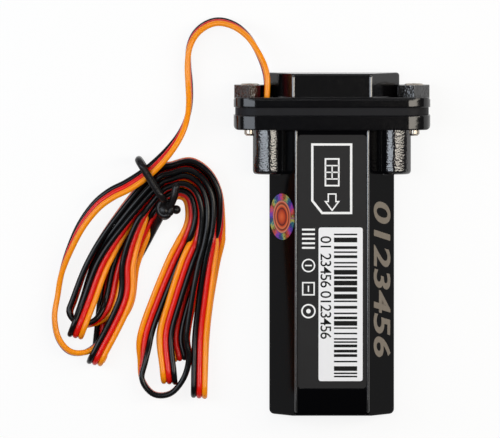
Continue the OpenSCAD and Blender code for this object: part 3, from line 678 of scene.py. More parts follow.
@dataclass
class Moulding:
    """A rigid solid whose sharp edges get the small radius of the real moulding.

    edge is that radius in millimetres, for edges that turn by more than angle. The mesh is welded at points
    nearer than weld and its faces merged where they turn by less than flat; edges that turn by more than
    sharp are shaded as edges. Angles are in degrees.
    """

    node: str
    body: str
    finish: Finish
    edge: float = 0.25
    angle: float = 28.0
    edge_finish: Finish | None = None
    weld: float = 0.002
    flat: float = 0.5
    sharp: float = 50.0
    segments: int = 3
    face_weight: int = 100

    def build(self, frame: dict) -> bpy.types.Object:
        """Merges a copy of the solid's mesh, rounds its edges and lets it stand for the solid.

        Args:
            frame: The loaded frame.

        Returns:
            The piece.
        """
        shell = bmesh.new()
        shell.from_mesh(frame["nodes"][self.node].data)
        bmesh.ops.remove_doubles(shell, verts=shell.verts, dist=self.weld * MM)
        bmesh.ops.dissolve_limit(shell, angle_limit=math.radians(self.flat), verts=shell.verts,
                                 edges=shell.edges)
        mesh = bpy.data.meshes.new(f"{self.node}_moulded")
        shell.to_mesh(mesh)
        shell.free()
        mesh.polygons.foreach_set("use_smooth", np.ones(len(mesh.polygons), bool))
        mesh.set_sharp_from_angle(angle=math.radians(self.sharp))
        piece = in_scene(mesh.name, mesh)
        mesh.materials.append(self.finish.make())
        self.paint(mesh)
        bevel = piece.modifiers.new("rounded_edges", "BEVEL")
        bevel.width = self.edge * MM
        bevel.segments = self.segments
        bevel.limit_method = "ANGLE"
        bevel.angle_limit = math.radians(self.angle)
        if self.edge_finish:
            mesh.materials.append(self.edge_finish.make())
            bevel.material = len(mesh.materials) - 1
        even = piece.modifiers.new("even_normals", "WEIGHTED_NORMAL")
        even.mode = "FACE_AREA"
        even.weight = self.face_weight
        even.keep_sharp = True
        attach(piece, self.body)
        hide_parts(self.node)
        LOG.info("%s: %d faces", piece.name, len(mesh.polygons))
        return piece

    def paint(self, mesh: bpy.types.Mesh) -> None:
        """Gives faces further finishes; a plain moulding has none."""

    @staticmethod
    def coat(mesh: bpy.types.Mesh, *coats: tuple[np.ndarray, Finish]) -> None:
        """Adds finishes to the mesh and gives them to faces.

        Args:
            mesh: The moulding's mesh.
            coats: Which faces, and their finish; a later one covers an earlier one.
        """
        kind = np.zeros(len(mesh.polygons), np.int32)
        for number, (faces, finish) in enumerate(coats, 1):
            mesh.materials.append(finish.make())
            kind[faces] = number
        mesh.polygons.foreach_set("material_index", kind)


@dataclass
class CaseMoulding(Moulding):
    """The case: gloss on the long tube, a grain on the lobes beside it, and a dull flange with glossier ends.

    A lobe's round face is known by its distance from the lobe's axis, which lies at lobe_x and lobe_z: more
    than its radius less inside, and less than its radius and outside.
    """

    flange_y: float = 30.2
    flange_x: float = 20.0
    lobe_y: float = 18.3
    lobe_x: float = 16.45
    lobe_z: float = 4.7
    lobe_r: float = 4.6
    inside: float = 0.4
    outside: float = 0.2
    margin: float = 0.1

    def paint(self, mesh: bpy.types.Mesh) -> None:
        """Gives the lobes their grain, and the flange and its ends their own finishes.

        Args:
            mesh: The case's mesh.
        """
        x, y, z = face_centres(mesh).T
        out = np.hypot(np.abs(x) - self.lobe_x, z - self.lobe_z)
        lobes = ((out > self.lobe_r - self.inside) & (out < self.lobe_r + self.outside)
                 | (np.abs(x) > self.lobe_x + self.margin) | (y < self.lobe_y + self.inside))
        flange = y > self.flange_y - self.margin / 2
        self.coat(mesh, (lobes & (y > self.lobe_y - self.margin), PEEL_BLACK), (flange, FLANGE_BLACK),
                  (flange & (np.abs(x) > self.flange_x), END_BLACK))


@dataclass
class CapMoulding(Moulding):
    """The end cap: a dull flange with glossier ends, a grained dome and rougher collars beside it."""

    seat_y: float = 38.6
    dome_half: float = 18.2
    flange_x: float = 20.0

    def paint(self, mesh: bpy.types.Mesh) -> None:
        """Gives the dome, the collars and the flange's ends their own finishes.

        Args:
            mesh: The cap's mesh.
        """
        x, y, _ = face_centres(mesh).T
        flange = y < self.seat_y
        dome = np.abs(x) < self.dome_half
        self.coat(mesh, (dome & ~flange, DOME_BLACK), (~dome & ~flange, COLLAR_BLACK),
                  (flange & (np.abs(x) > self.flange_x), END_BLACK))


@dataclass
class CornerBead:
    """The rounded lip that runs along each side of a moulding's face."""

    name: str
    body: str
    x: float
    z: float
    ends: Point
    radius: float
    stations: int = 24

    def build(self) -> None:
        """Makes both lips."""
        for side in Side:
            along = np.linspace(*self.ends, self.stations)
            path = np.array([(side.value * self.x, y, self.z) for y in along])
            moulded(tube(f"{self.name}_{side.name.lower()}", path, self.radius, EDGE_BLACK), self.body)


@dataclass
class CollarWebShadeFill:
    """The low web between the left collar and the dome, below the lead; its black block also fills the gap
    where the lead's shade falls, so it is partly painted shade.
    """

    plan: Corners = (-18.8, 38.65, -16.7, 41.8)
    height: Point = (0.4, 5.95)

    def build(self) -> None:
        """Makes the web, whose black also stands in for the shade under the lead."""
        # Black block of the collar's height: partly a real web, and partly painted shade where the lead's
        # shadow falls
        moulded(prism("collar_web_shade_fill", rectangle(*self.plan), *self.height, GLOSS_BLACK), "cap")


# Labels


def printed(piece: bpy.types.Object) -> None:
    """Lets a print ride on the housing."""
    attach(piece, "housing")
    LOG.info("%s: printed", piece.name)


@dataclass
class FrontPrint:
    """White print on the front label: a card's outline with contacts and an arrow, and a row of plain marks.

    The marks stand in a column at column_x. A ring is given by its place along the label, its radius, and
    the half length of the line or the radius of the dot inside it; the square is given from the column's
    middle.
    """

    sunk: float = 0.01
    ink: float = 0.03
    line: float = 0.6
    card: Corners = (-5.2, 8.4, 5.0, 26.4)
    cut: Point = (2.6, 3.25)
    arrow: tuple[Point, ...] = (
        (-1.0, 13.4), (-1.0, 11.4), (-1.75, 11.4), (0.0, 9.1), (1.75, 11.4), (1.0, 11.4), (1.0, 13.4))
    pad: Corners = (-1.75, 15.6, 1.75, 22.6)
    pad_line: float = 0.42
    pad_rows: tuple[float, ...] = (17.35, 19.1, 20.85)
    thin_line: float = 0.34
    column_x: float = -6.2
    bars: tuple[float, ...] = (3.8, 2.6, 1.4, 0.2, -1.0)
    bar: Point = (1.7, 0.5)
    barred_ring: Place = (-5.4, 1.6, 0.9)
    dotted_ring: Place = (-17.4, 1.7, 0.6)
    dotted_line: float = 0.4
    square: Corners = (-1.5, -13.1, 1.5, -9.9)
    square_bar: Point = (-12.3, -10.7)
    mark_line: float = 0.36

    def build(self) -> None:
        """Makes the print on the label's top face."""
        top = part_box("front_label")[1].z / MM
        low, high = top - self.sunk, top + self.ink
        x0, y0, x1, y1 = self.card
        card = [(x0 + self.cut[0], y0), (x1, y0), (x1, y1), (x0, y1), (x0, y0 + self.cut[1])]
        pieces = [band("card", card, self.line, low, high, PRINT_WHITE),
                  band("arrow", self.arrow, self.thin_line, low, high, PRINT_WHITE),
                  band("pad", rectangle(*self.pad), self.pad_line, low, high, PRINT_WHITE)]
        contacts = [[(self.pad[0], y), (self.pad[2], y)] for y in self.pad_rows]
        contacts.append([(0, self.pad_rows[0]), (0, self.pad_rows[-1])])
        pieces += [band("contact", line, self.thin_line, low, high, PRINT_WHITE, False) for line in contacts]
        printed(joined("label_print", pieces + self.marks(low, high)))

    def marks(self, low: float, high: float) -> list[bpy.types.Object]:
        """Plain marks beside the sticker: bars, a ring and a square with a line each, a ring with a dot.

        Args:
            low: Height of the ink's underside.
            high: Height of its top.

        Returns:
            The marks.
        """
        x = self.column_x
        half, deep = self.bar
        bars = [prism("bar", rectangle(x - half, y, x + half, y + deep), low, high, PRINT_WHITE)
                for y in self.bars]
        ring_y, ring_r, reach = self.barred_ring
        dot_y, dot_ring_r, dot_r = self.dotted_ring
        x0, y0, x1, y1 = self.square
        outlines = [(circle(x, ring_y, ring_r), self.mark_line),
                    (circle(x, dot_y, dot_ring_r), self.dotted_line),
                    (rectangle(x + x0, y0, x + x1, y1), self.mark_line)]
        lines = [[(x - reach, ring_y), (x + reach, ring_y)], [(x, y) for y in self.square_bar]]
        return (bars + [prism("dot", circle(x, dot_y, dot_r), low, high, PRINT_WHITE)]
                + [band("outline", line, width, low, high, PRINT_WHITE) for line, width in outlines]
                + [band("line", line, self.mark_line, low, high, PRINT_WHITE, False) for line in lines])


@dataclass
class IdSticker:
    """Print of the white sticker: plain bars and plain numbers that read along the housing.

    The bars start foot from the sticker's lower end, and bars and numbers stay head from its upper end.
    """

    sunk: float = 0.01
    ink: float = 0.02
    foot: float = 1.0
    head: float = 1.6
    bars_x: Point = (0.5, 6.6)
    widths: tuple[float, ...] = (0.42, 0.42, 0.75, 1.25)
    gaps: tuple[float, ...] = (0.42, 0.62, 1.0)
    draws: int = 64
    seed: int = 11
    digits: str = "01 23456 0123456"
    digit_size: float = 4.0
    digit_bold: float = 0.02
    digit_spread: float = 0.9
    digits_left: float = 3.0
    digits_drop: float = 0.6

    def build(self) -> None:
        """Prints the bars and the numbers on the sticker's solid."""
        low_corner, high_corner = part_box("id_label")
        top = high_corner.z / MM
        y0, y1 = low_corner.y / MM + self.foot, high_corner.y / MM - self.head
        rng = np.random.default_rng(self.seed)
        widths = rng.choice(self.widths, self.draws)
        gaps = rng.choice(self.gaps, self.draws)
        starts = y0 + np.r_[0, np.cumsum(widths + gaps)[:-1]]
        bars = [prism("bar", rectangle(self.bars_x[0], a, self.bars_x[1], a + w), top - self.sunk,
                      top + self.ink, PRINT_BLACK)
                for a, w in zip(starts, widths) if a + w < y1]
        printed(joined("sticker_bars", bars))
        self.numbers(top, y1)

    def numbers(self, top: float, y1: float) -> None:
        """Writes the numbers as a thin mesh that reads from the cap end down.

        Args:
            top: Height of the sticker's face.
            y1: Upper end of the print.
        """
        piece = written("sticker_numbers", self.digits, self.digit_size, self.ink, PRINT_BLACK,
                        self.digit_bold, spread=self.digit_spread)
        x, y, z = vertices(piece.data).T
        down = y1 * MM - self.digits_drop * MM - x
        turned = np.stack([y - self.digits_left * MM, down, z + (top + self.ink / 2) * MM], axis=1)
        move_vertices(piece.data, turned)
        printed(piece)


@dataclass
class SidePrint:
    """Taupe print on the right slanted side: plain numbers that lean and read along the housing.

    The slope runs up from foot_x and foot_z to face_x and face_z, and the print's middle lies at the share
    middle of it.
    """

    start: float = 12.0
    digits: str = "0123456"
    size: float = 11.6
    stretch: float = 1.02
    bold: float = 0.22
    lean: float = 0.2
    ink: float = 0.03
    middle: float = 0.47
    foot_x: float = 16.45
    foot_z: float = 2.4
    face_x: float = 9.6
    face_z: float = 13.5

    def build(self) -> None:
        """Writes the numbers flat, mirrors them to read from outside, and lays them on the side."""
        piece = written("side_print", self.digits, self.size, self.ink, PRINT_TAUPE, self.bold, self.lean)
        middle = math.hypot(self.foot_x - self.face_x, self.face_z - self.foot_z) * MM * self.middle
        x, y, z = vertices(piece.data).T
        across = middle - (y.max() + y.min()) / 2 + y
        turned = np.stack([2 * middle - across, self.start * MM - x * self.stretch, z], axis=1)
        move_vertices(piece.data, turned)
        piece.data.flip_normals()
        self.lay(piece.data)
        printed(piece)

    def lay(self, mesh: bpy.types.Mesh) -> None:
        """Carries the flat print on to the slanted side: its X becomes the way up the slope from the foot,
        and its height the way out of it.

        Args:
            mesh: The print's mesh.
        """
        run = math.hypot(self.foot_x - self.face_x, self.face_z - self.foot_z)
        up = np.array([(self.face_x - self.foot_x) / run, 0, (self.face_z - self.foot_z) / run])
        out = np.array([up[2], 0, -up[0]])
        x, y, z = vertices(mesh).T
        laid = np.array([self.foot_x, 0, self.foot_z]) * MM + x[:, None] * up + z[:, None] * out
        laid[:, 1] = y
        move_vertices(mesh, laid)


def written(name: str, text: str, size: float, ink: float, finish: Finish, bold: float, lean: float = 0.0,
            spread: float = 1.0) -> bpy.types.Object:
    """Plain numbers as a thin mesh, with half of the ink above the XY plane and half below it.

    Args:
        name: The piece's name.
        text: The numbers.
        size: Height of the line, in millimetres.
        ink: Thickness of the ink.
        finish: Its finish.
        bold: By how much the strokes are thickened.
        lean: The slant of the numbers.
        spread: Distance between the numbers, as a share of the usual one.

    Returns:
        The piece.
    """
    curve = bpy.data.curves.new(name, "FONT")
    curve.body = text
    curve.size = size * MM
    curve.extrude = ink / 2 * MM
    curve.offset = bold * MM
    curve.shear = lean
    curve.space_character = spread
    flat = in_scene("text", curve)
    bpy.context.view_layer.update()
    mesh = bpy.data.meshes.new_from_object(flat)
    bpy.data.objects.remove(flat)
    mesh.materials.clear()
    mesh.materials.append(finish.make())
    return in_scene(name, mesh)


@dataclass
class SealSticker:
    """Round foil sticker on the left slanted side, made as a disc of rings with a turned-down rim.

    hub is the inmost ring's share of the radius. The face stands thick and lift above the solid's middle
    plane, and the rim ends tuck below it.
    """

    rings: int = 24
    spokes: int = 72
    hub: float = 0.02
    thick: float = 0.1
    lift: float = 0.02
    tuck: float = 0.05

    def build(self) -> None:
        """Makes the disc on the solid's own centre, plane and radius."""
        low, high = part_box("seal_sticker")
        radius = (high.y - low.y) / 2 / MM
        centre = np.array((low + high) / 2) / MM
        slope = math.atan2(high.z - low.z, high.x - low.x)
        up = np.array([math.cos(slope), 0, math.sin(slope)])
        out = np.array([-math.sin(slope), 0, math.cos(slope)])
        r = np.r_[np.linspace(self.hub, 1.0, self.rings), 1.0] * radius
        height = np.r_[np.full(self.rings, self.thick + self.lift), -self.tuck]
        a = np.linspace(0, 2 * math.pi, self.spokes, endpoint=False)[None, :, None]
        points = (centre + r[:, None, None] * (np.cos(a) * up + np.sin(a) * [0, 1, 0])
                  + height[:, None, None] * out)
        faces = [face[::-1] for face in grid_faces(self.rings + 1, self.spokes).tolist()]
        piece = mesh_piece("seal_foil_disc", points.reshape(-1, 3), faces + [list(range(self.spokes))],
                           FoilFinish())
        mesh = piece.data
        corner = np.zeros(len(mesh.loops), np.int32)
        mesh.loops.foreach_get("vertex_index", corner)
        u = np.clip((corner // self.spokes) / (self.rings - 1), 0, 1)
        v = (corner % self.spokes) / self.spokes
        uv = mesh.uv_layers.new(name="foil")
        uv.data.foreach_set("uv", np.stack([u, v], axis=1).astype(np.float32).ravel())
        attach(piece, "housing")
        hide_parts("seal_sticker")
        LOG.info("%s: %.1f mm across", piece.name, 2 * radius)


# Cable

# Spare height of a wire above the table, in millimetres
TABLE_GAP = 0.05


@dataclass(frozen=True)
class Run:
    """One run of the ribbon along the hank, given at its left end, at the bend and at its right end.

    lane is the place between the hank's outer line, 0, and its inner line, 1. height is in millimetres.
    roll is the ribbon's turn about its own line in degrees: at 0 it lies flat with its black wire outwards,
    and at 90 it stands on edge with its black wire up.
    """

    lane: Ends
    height: Ends
    roll: Ends


@dataclass
class Hank:
    """The ribbon's tied hank: seven runs that swing round one bend, with folds and loops at both ends.

    outer and inner are the stations of the hank's edges, from left to right; the bend lies between the
    stations of bend, and the right end's values are reached ease stations before the last. A loop's points
    are x, y, z and the roll in degrees.
    """

    outer: tuple[Point, ...] = (
        (-68, -15), (-64, -5), (-57.5, 5.5), (-47, 18.5), (-42, 20.5), (-37, 21.5), (-32.5, 18.5),
        (-30, 13.5), (-29.5, 7.5), (-30, 1), (-31.5, -5.5), (-33, -15), (-34, -25))
    inner: tuple[Point, ...] = (
        (-54.5, -15), (-53, -5), (-49, 4.5), (-44.5, 11), (-42.3, 12.8), (-40, 13.5), (-37.8, 12.5),
        (-36.7, 10), (-36.5, 6), (-38, 1), (-41, -5), (-45, -15), (-48, -24))
    bend: tuple[int, int] = (3, 7)
    ease: float = 0.5
    runs: tuple[Run, ...] = (
        Run((1.02, 1.03, 1.07), (0.9, 3.0, 2.9), (0, 50, 0)),
        Run((0.3, 0.5, 0.3), (5.0, 4.2, 4.5), (0, 76, 90)),
        Run((0.27, 0.26, 0.05), (0.9, 4.6, 4.3), (0, 88, 180)),
        Run((0.0, -0.03, 0.03), (3.2, 3.4, 0.9), (80, 92, 180)),
        Run((0.74, 0.82, 0.72), (2.7, 1.0, 0.9), (0, 0, 0)),
        Run((1.0, 0.77, 0.7), (5.0, 4.8, 4.4), (0, 70, 0)),
        Run((0.62, 0.25, 0.5), (0.9, 1.0, 2.5), (0, 0, 30)))
    fold_top: float = 5.7
    fold_foot: float = 0.9
    fold_angles: tuple[float, ...] = (110, 60, 20, -20, -60, -110)
    fold_tips: tuple[Point, ...] = ((-67.6, -24.4), (-35, -40.3), (-42.8, -36.6), (-62.5, -31.5))
    left_out: Point = (-0.98, 0.21)
    right_out: Point = (0.99, -0.1)
    first_loop: tuple[Rolled, ...] = (
        (-72.3, -14, 2.9, -90), (-73.1, -19.5, 3.2, -90), (-72.1, -25, 3.4, -90), (-69, -28.6, 3.4, -90),
        (-64.5, -28.6, 3.2, -90), (-60.5, -25.5, 2.9, -90), (-57.5, -21, 2.2, -45))
    second_loop: tuple[Rolled, ...] = (
        (-49.8, -31, 3.2, 60), (-50, -36, 3.4, 90), (-47, -39.8, 3.5, 90), (-42.5, -39.6, 3.7, 90),
        (-39, -35.5, 4.0, 90), (-37.6, -30, 4.3, 90))
    third_loop: tuple[Rolled, ...] = (
        (-69, -18.5, 3.3, 85), (-66.8, -21.2, 3.4, 90), (-63, -21, 3.4, 85), (-60, -18.8, 3.0, 50))
    cut_end: tuple[Rolled, ...] = ((-40, -30.5, 2.6, 45),)

    def blend(self, ends: Ends) -> np.ndarray:
        """Carries a value from the left end to the bend's and on to the right end's with eased steps, which
        follow three squares less two cubes of the share of the way.

        Args:
            ends: The three values.

        Returns:
            The value at each station.
        """
        last = len(self.outer) - 1
        i = np.arange(last + 1)
        left = np.clip(i / self.bend[0], 0, 1)
        right = np.clip((i - self.bend[1]) / (last - self.bend[1] - self.ease), 0, 1)
        left, right = (3 * t**2 - 2 * t**3 for t in (left, right))
        return ends[0] * (1 - left) + ends[1] * (left - right) + ends[2] * right

    def stations(self, run: Run) -> np.ndarray:
        """Points of one run from left to right, each with the way to the ribbon's black wire.

        Args:
            run: The run.

        Returns:
            One row per station: x, y, z, and the three parts of the way.
        """
        outer, inner = np.array(self.outer, float), np.array(self.inner, float)
        lane = self.blend(run.lane)[:, None]
        roll = np.radians(self.blend(run.roll))[:, None]
        return np.hstack([outer * (1 - lane) + inner * lane, self.blend(run.height)[:, None],
                          unit(outer - inner) * np.cos(roll), np.sin(roll)])

    def loop(self, points: tuple[Rolled, ...], out: Point) -> np.ndarray:
        """Turns the points of a loop into rows.

        Args:
            points: The points.
            out: The way outwards at this end, at roll 0.

        Returns:
            Rows as stations() gives them.
        """
        p = np.array(points, float)
        roll = np.radians(p[:, 3:4])
        return np.hstack([p[:, :3], np.cos(roll) * np.array(out), np.sin(roll)])

    def fold(self, start: np.ndarray, end: np.ndarray, tip: Point, out: Point, sense: int = 1) -> np.ndarray:
        """Points of a flat fold, where the ribbon rolls over from one height to another: an arc in the
        upright plane through its end, of the radius that spans both heights.

        Args:
            start: The run's last row before the fold.
            end: The next run's first row.
            tip: Place of the fold's end, seen from above.
            out: The way outwards.
            sense: 1 when the black wire lies outwards, -1 when it lies inwards.

        Returns:
            Rows as stations() gives them.
        """
        middle = (self.fold_top + self.fold_foot) / 2
        radius = (self.fold_top - self.fold_foot) / 2
        ahead = np.array(tip) - start[:2]
        ahead /= np.linalg.norm(ahead)
        a = np.radians(self.fold_angles) * (1 if start[2] > end[2] else -1)
        centre = np.array(tip) - ahead * radius
        plan = centre + radius * np.cos(a)[:, None] * ahead
        way = np.array([sense * out[0], sense * out[1], 0.0])
        return np.hstack([plan, (middle + radius * np.sin(a))[:, None], np.tile(way, (len(a), 1))])

    def route(self) -> np.ndarray:
        """The whole hank, from where the lead comes in to the cut end.

        Returns:
            Rows as stations() gives them.
        """
        r = [self.stations(run) for run in self.runs]
        left, right, tips = self.left_out, self.right_out, self.fold_tips
        return np.vstack([
            self.loop(self.first_loop, left),
            r[0], self.loop(self.second_loop, right),
            r[1][::-1], self.fold(r[1][0], r[2][0], tips[0], left),
            r[2], self.fold(r[2][-1], r[3][-1], tips[1], right, -1),
            r[3][::-1], self.loop(self.third_loop, left),
            r[4], self.fold(r[4][-1], r[5][-1], tips[2], right),
            r[5][::-1], self.fold(r[5][0], r[6][0], tips[3], left),
            r[6], self.loop(self.cut_end, right)])


@dataclass
class Settling:
    """Lays crossing wires on each other, as slack wires settle: where two would run through each other they
    move apart, mostly up and down, each move spreads along its wire, and the ribbon's wires stay side by
    side.

    Pairs of points within reach, and more than apart stations from each other along the ribbon, are looked
    for again after look_every rounds, a block of points at a time. In each round a wire moves by eager times
    its push, whose sideways part is cut down and whose upright part grows by lift, and calm is the share of
    its moves that is replaced by their spread. The bell curve of the spread ends at bell times its width.
    """

    wire: float
    pitch: float
    rounds: int = 70
    last_rounds: int = 6
    spread: int = 4
    sideways: float = 0.35
    apart: int = 15
    reach: float = 3.0
    block: int = 600
    look_every: int = 10
    eager: float = 1.3
    calm: float = 0.25
    last_calm: float = 0.5
    lift: float = 0.05
    bell: int = 3

    def near(self, points: np.ndarray, stations: int) -> tuple[np.ndarray, np.ndarray]:
        """Pairs of points within reach of each other and not beside each other in the ribbon.

        Args:
            points: All points, wire after wire.
            stations: Number of points in each wire.

        Returns:
            The two points of each pair.
        """
        found = []
        for first in range(0, len(points), self.block):
            gap = ((points[first:first + self.block, None] - points[None]) ** 2).sum(-1)
            i, j = np.nonzero(gap < self.reach**2)
            i = i + first
            keep = (j > i) & (np.abs(i % stations - j % stations) > self.apart)
            found.append(np.stack([i[keep], j[keep]]))
        return tuple(np.hstack(found))

    def push(self, points: np.ndarray, i: np.ndarray, j: np.ndarray) -> np.ndarray:
        """Half of each overlap, away from the other wire, as a mean over the pairs of a point.

        Args:
            points: All points.
            i: First point of each pair.
            j: Second point of each pair.

        Returns:
            The move of each point.
        """
        way = points[i] - points[j]
        over = self.wire - np.linalg.norm(way, axis=1)
        i, j, way, over = (part[over > 0] for part in (i, j, way, over))
        way = way * [self.sideways, self.sideways, 1.0]
        way[:, 2] += np.where(way[:, 2] >= 0, self.lift, -self.lift)
        half = 0.5 * over[:, None] * way / np.linalg.norm(way, axis=1)[:, None]
        total, count = np.zeros_like(points), np.zeros(len(points))
        for index, part in ((i, half), (j, -half)):
            np.add.at(total, index, part)
            np.add.at(count, index, 1)
        return total / np.maximum(count, 1)[:, None]

    def spread_out(self, move: np.ndarray, width: int) -> np.ndarray:
        """Spreads moves along each wire, weighted by a bell curve of this width in stations.

        Args:
            move: Moves, one row of points for each wire.
            width: The bell curve's width.

        Returns:
            The spread moves.
        """
        reach = self.bell * width
        bell = np.exp(-0.5 * (np.arange(-reach, reach + 1) / width) ** 2)
        padded = np.pad(move, ((0, 0), (reach, reach), (0, 0)), mode="edge")
        return sum(share * padded[:, i:i + move.shape[1]] for i, share in enumerate(bell / bell.sum()))

    def side_by_side(self, strands: np.ndarray) -> np.ndarray:
        """Puts the outer wires a pitch to each side of the middle, and all three above the table.

        Args:
            strands: The wires' points, from the first edge of the ribbon to the other.

        Returns:
            The wires' points.
        """
        middle = strands.mean(axis=0)
        across = strands[0] - strands[2]
        across *= self.pitch / np.linalg.norm(across, axis=1)[:, None]
        laid = np.stack([middle + across, middle, middle - across])
        laid[..., 2] += np.clip(self.wire / 2 + TABLE_GAP - laid[..., 2].min(axis=0), 0, None)
        return laid

    def lay(self, strands: np.ndarray) -> np.ndarray:
        """Settles the wires in rounds; the last rounds spread the moves less far.

        Args:
            strands: The wires' points, from the first edge of the ribbon to the other.

        Returns:
            The settled points.
        """
        start, move = strands, np.zeros_like(strands)
        for turn in range(self.rounds):
            points = (start + move).reshape(-1, 3)
            if turn % self.look_every == 0:
                i, j = self.near(points, start.shape[1])
            move = move + self.eager * self.push(points, i, j).reshape(move.shape)
            last = turn >= self.rounds - self.last_rounds
            share, width = (self.last_calm, self.spread // 2) if last else (self.calm, self.spread)
            move = (1 - share) * move + share * self.spread_out(move, width)
            move = self.side_by_side(start + move) - start
        return start + move


@dataclass
class RibbonCable:
    """Three bonded wires from the cap's seal to the hank's cut end, and inside the cap to the plug."""

    wire: float = 1.5
    pitch: float = 1.46
    step: float = 0.8
    exit_x: float = 17.1
    exit_y: float = 38.7
    lead: tuple[Rolled, ...] = (
        (0, 0, 8.8, -90), (0, 4.5, 8.8, -96), (-0.7, 8, 8.6, -98), (-2.5, 12, 7.7, -93), (-5, 15.8, 6.2, -86),
        (-8.5, 18.6, 4.6, -78), (-12.5, 19.7, 3.2, -75), (-16, 18.8, 2.6, -75), (-18.9, 16.3, 2.5, -78),
        (-20.5, 12.6, 2.5, -86), (-20.8, 8, 2.5, -95), (-20.5, 3.5, 2.8, -100), (-20.4, -1, 3.8, -97),
        (-20.9, -5, 5.2, -90), (-22.3, -9, 6.8, -80), (-24.8, -13, 7.9, -68), (-28.3, -17, 8.2, -56),
        (-32.3, -20.5, 8.2, -48), (-36.7, -23.4, 8.1, -44), (-41, -25.6, 7.8, -46), (-45, -28.8, 7.0, -54),
        (-49, -34.2, 5.8, -65), (-52.2, -41, 4.4, -78), (-54.2, -47, 3.3, -90))
    inner: tuple[Rolled, ...] = (
        (0, 0, 8.8, -90), (0.1, -1.1, 8.8, -90), (0.8, -1.75, 8.8, -90), (5.2, -1.9, 8.7, -90),
        (6.9, -2.3, 7.5, -85), (7.7, -3.1, 5.8, -72), (8.6, -4, 4.8, -34), (9.8, -5, 4.1, -8),
        (10.3, -5.8, 4.1, 0), (10.3, -6.6, 4.1, 0))

    def across(self, points: tuple[Rolled, ...]) -> np.ndarray:
        """Gives each point the way to the black wire: the right hand of its heading, turned by the roll.

        Args:
            points: x and y from the cap's outlet, z from the floor, and the roll in degrees.

        Returns:
            Rows of x, y, z and the three parts of the way, in the frame's millimetres.
        """
        p = np.array(points, float)
        ahead = unit(np.gradient(p[:, :2], axis=0))
        roll = np.radians(p[:, 3:4])
        right = np.stack([ahead[:, 1], -ahead[:, 0]], axis=1)
        return np.hstack([p[:, :3] + [-self.exit_x, self.exit_y, 0], right * np.cos(roll), np.sin(roll)])

    def strand(self, rows: np.ndarray, wire: Wire) -> np.ndarray:
        """One wire's centreline beside the ribbon's.

        Args:
            rows: The ribbon's points and ways.
            wire: Which wire.

        Returns:
            The wire's points in even steps.
        """
        line = smooth_path(rows, self.step)
        ahead = unit(np.gradient(line[:, :3], axis=0))
        way = unit(line[:, 3:] - (line[:, 3:] * ahead).sum(1)[:, None] * ahead)
        path = line[:, :3] + way * wire.value * self.pitch
        path[:, 2] = np.maximum(path[:, 2], self.wire / 2 + TABLE_GAP)
        return path

    def build(self, tie: list[bpy.types.Object]) -> None:
        """Lays the wires and lays their inner ends.

        Args:
            tie: The pieces that hold the hank; not used.
        """
        rows = np.vstack([self.across(self.lead), Hank().route()])
        strands = Settling(self.wire, self.pitch).lay(np.stack([self.strand(rows, wire) for wire in Wire]))
        for wire, path in zip(Wire, strands):
            piece = tube(f"wire_{wire.name.lower()}", path, self.wire / 2, WIRES[wire])
            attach(piece, "cap")
            if wire is Wire.RED:
                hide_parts("cable_lead", "cable_hank")
            inner = tube(f"inner_wire_{wire.name.lower()}", self.strand(self.across(self.inner), wire),
                         self.wire / 2, WIRES[wire], round_ends=False)
            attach(inner, "cap")
            if wire is Wire.RED:
                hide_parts("inner_lead")
            LOG.info("%s: laid", inner.name)


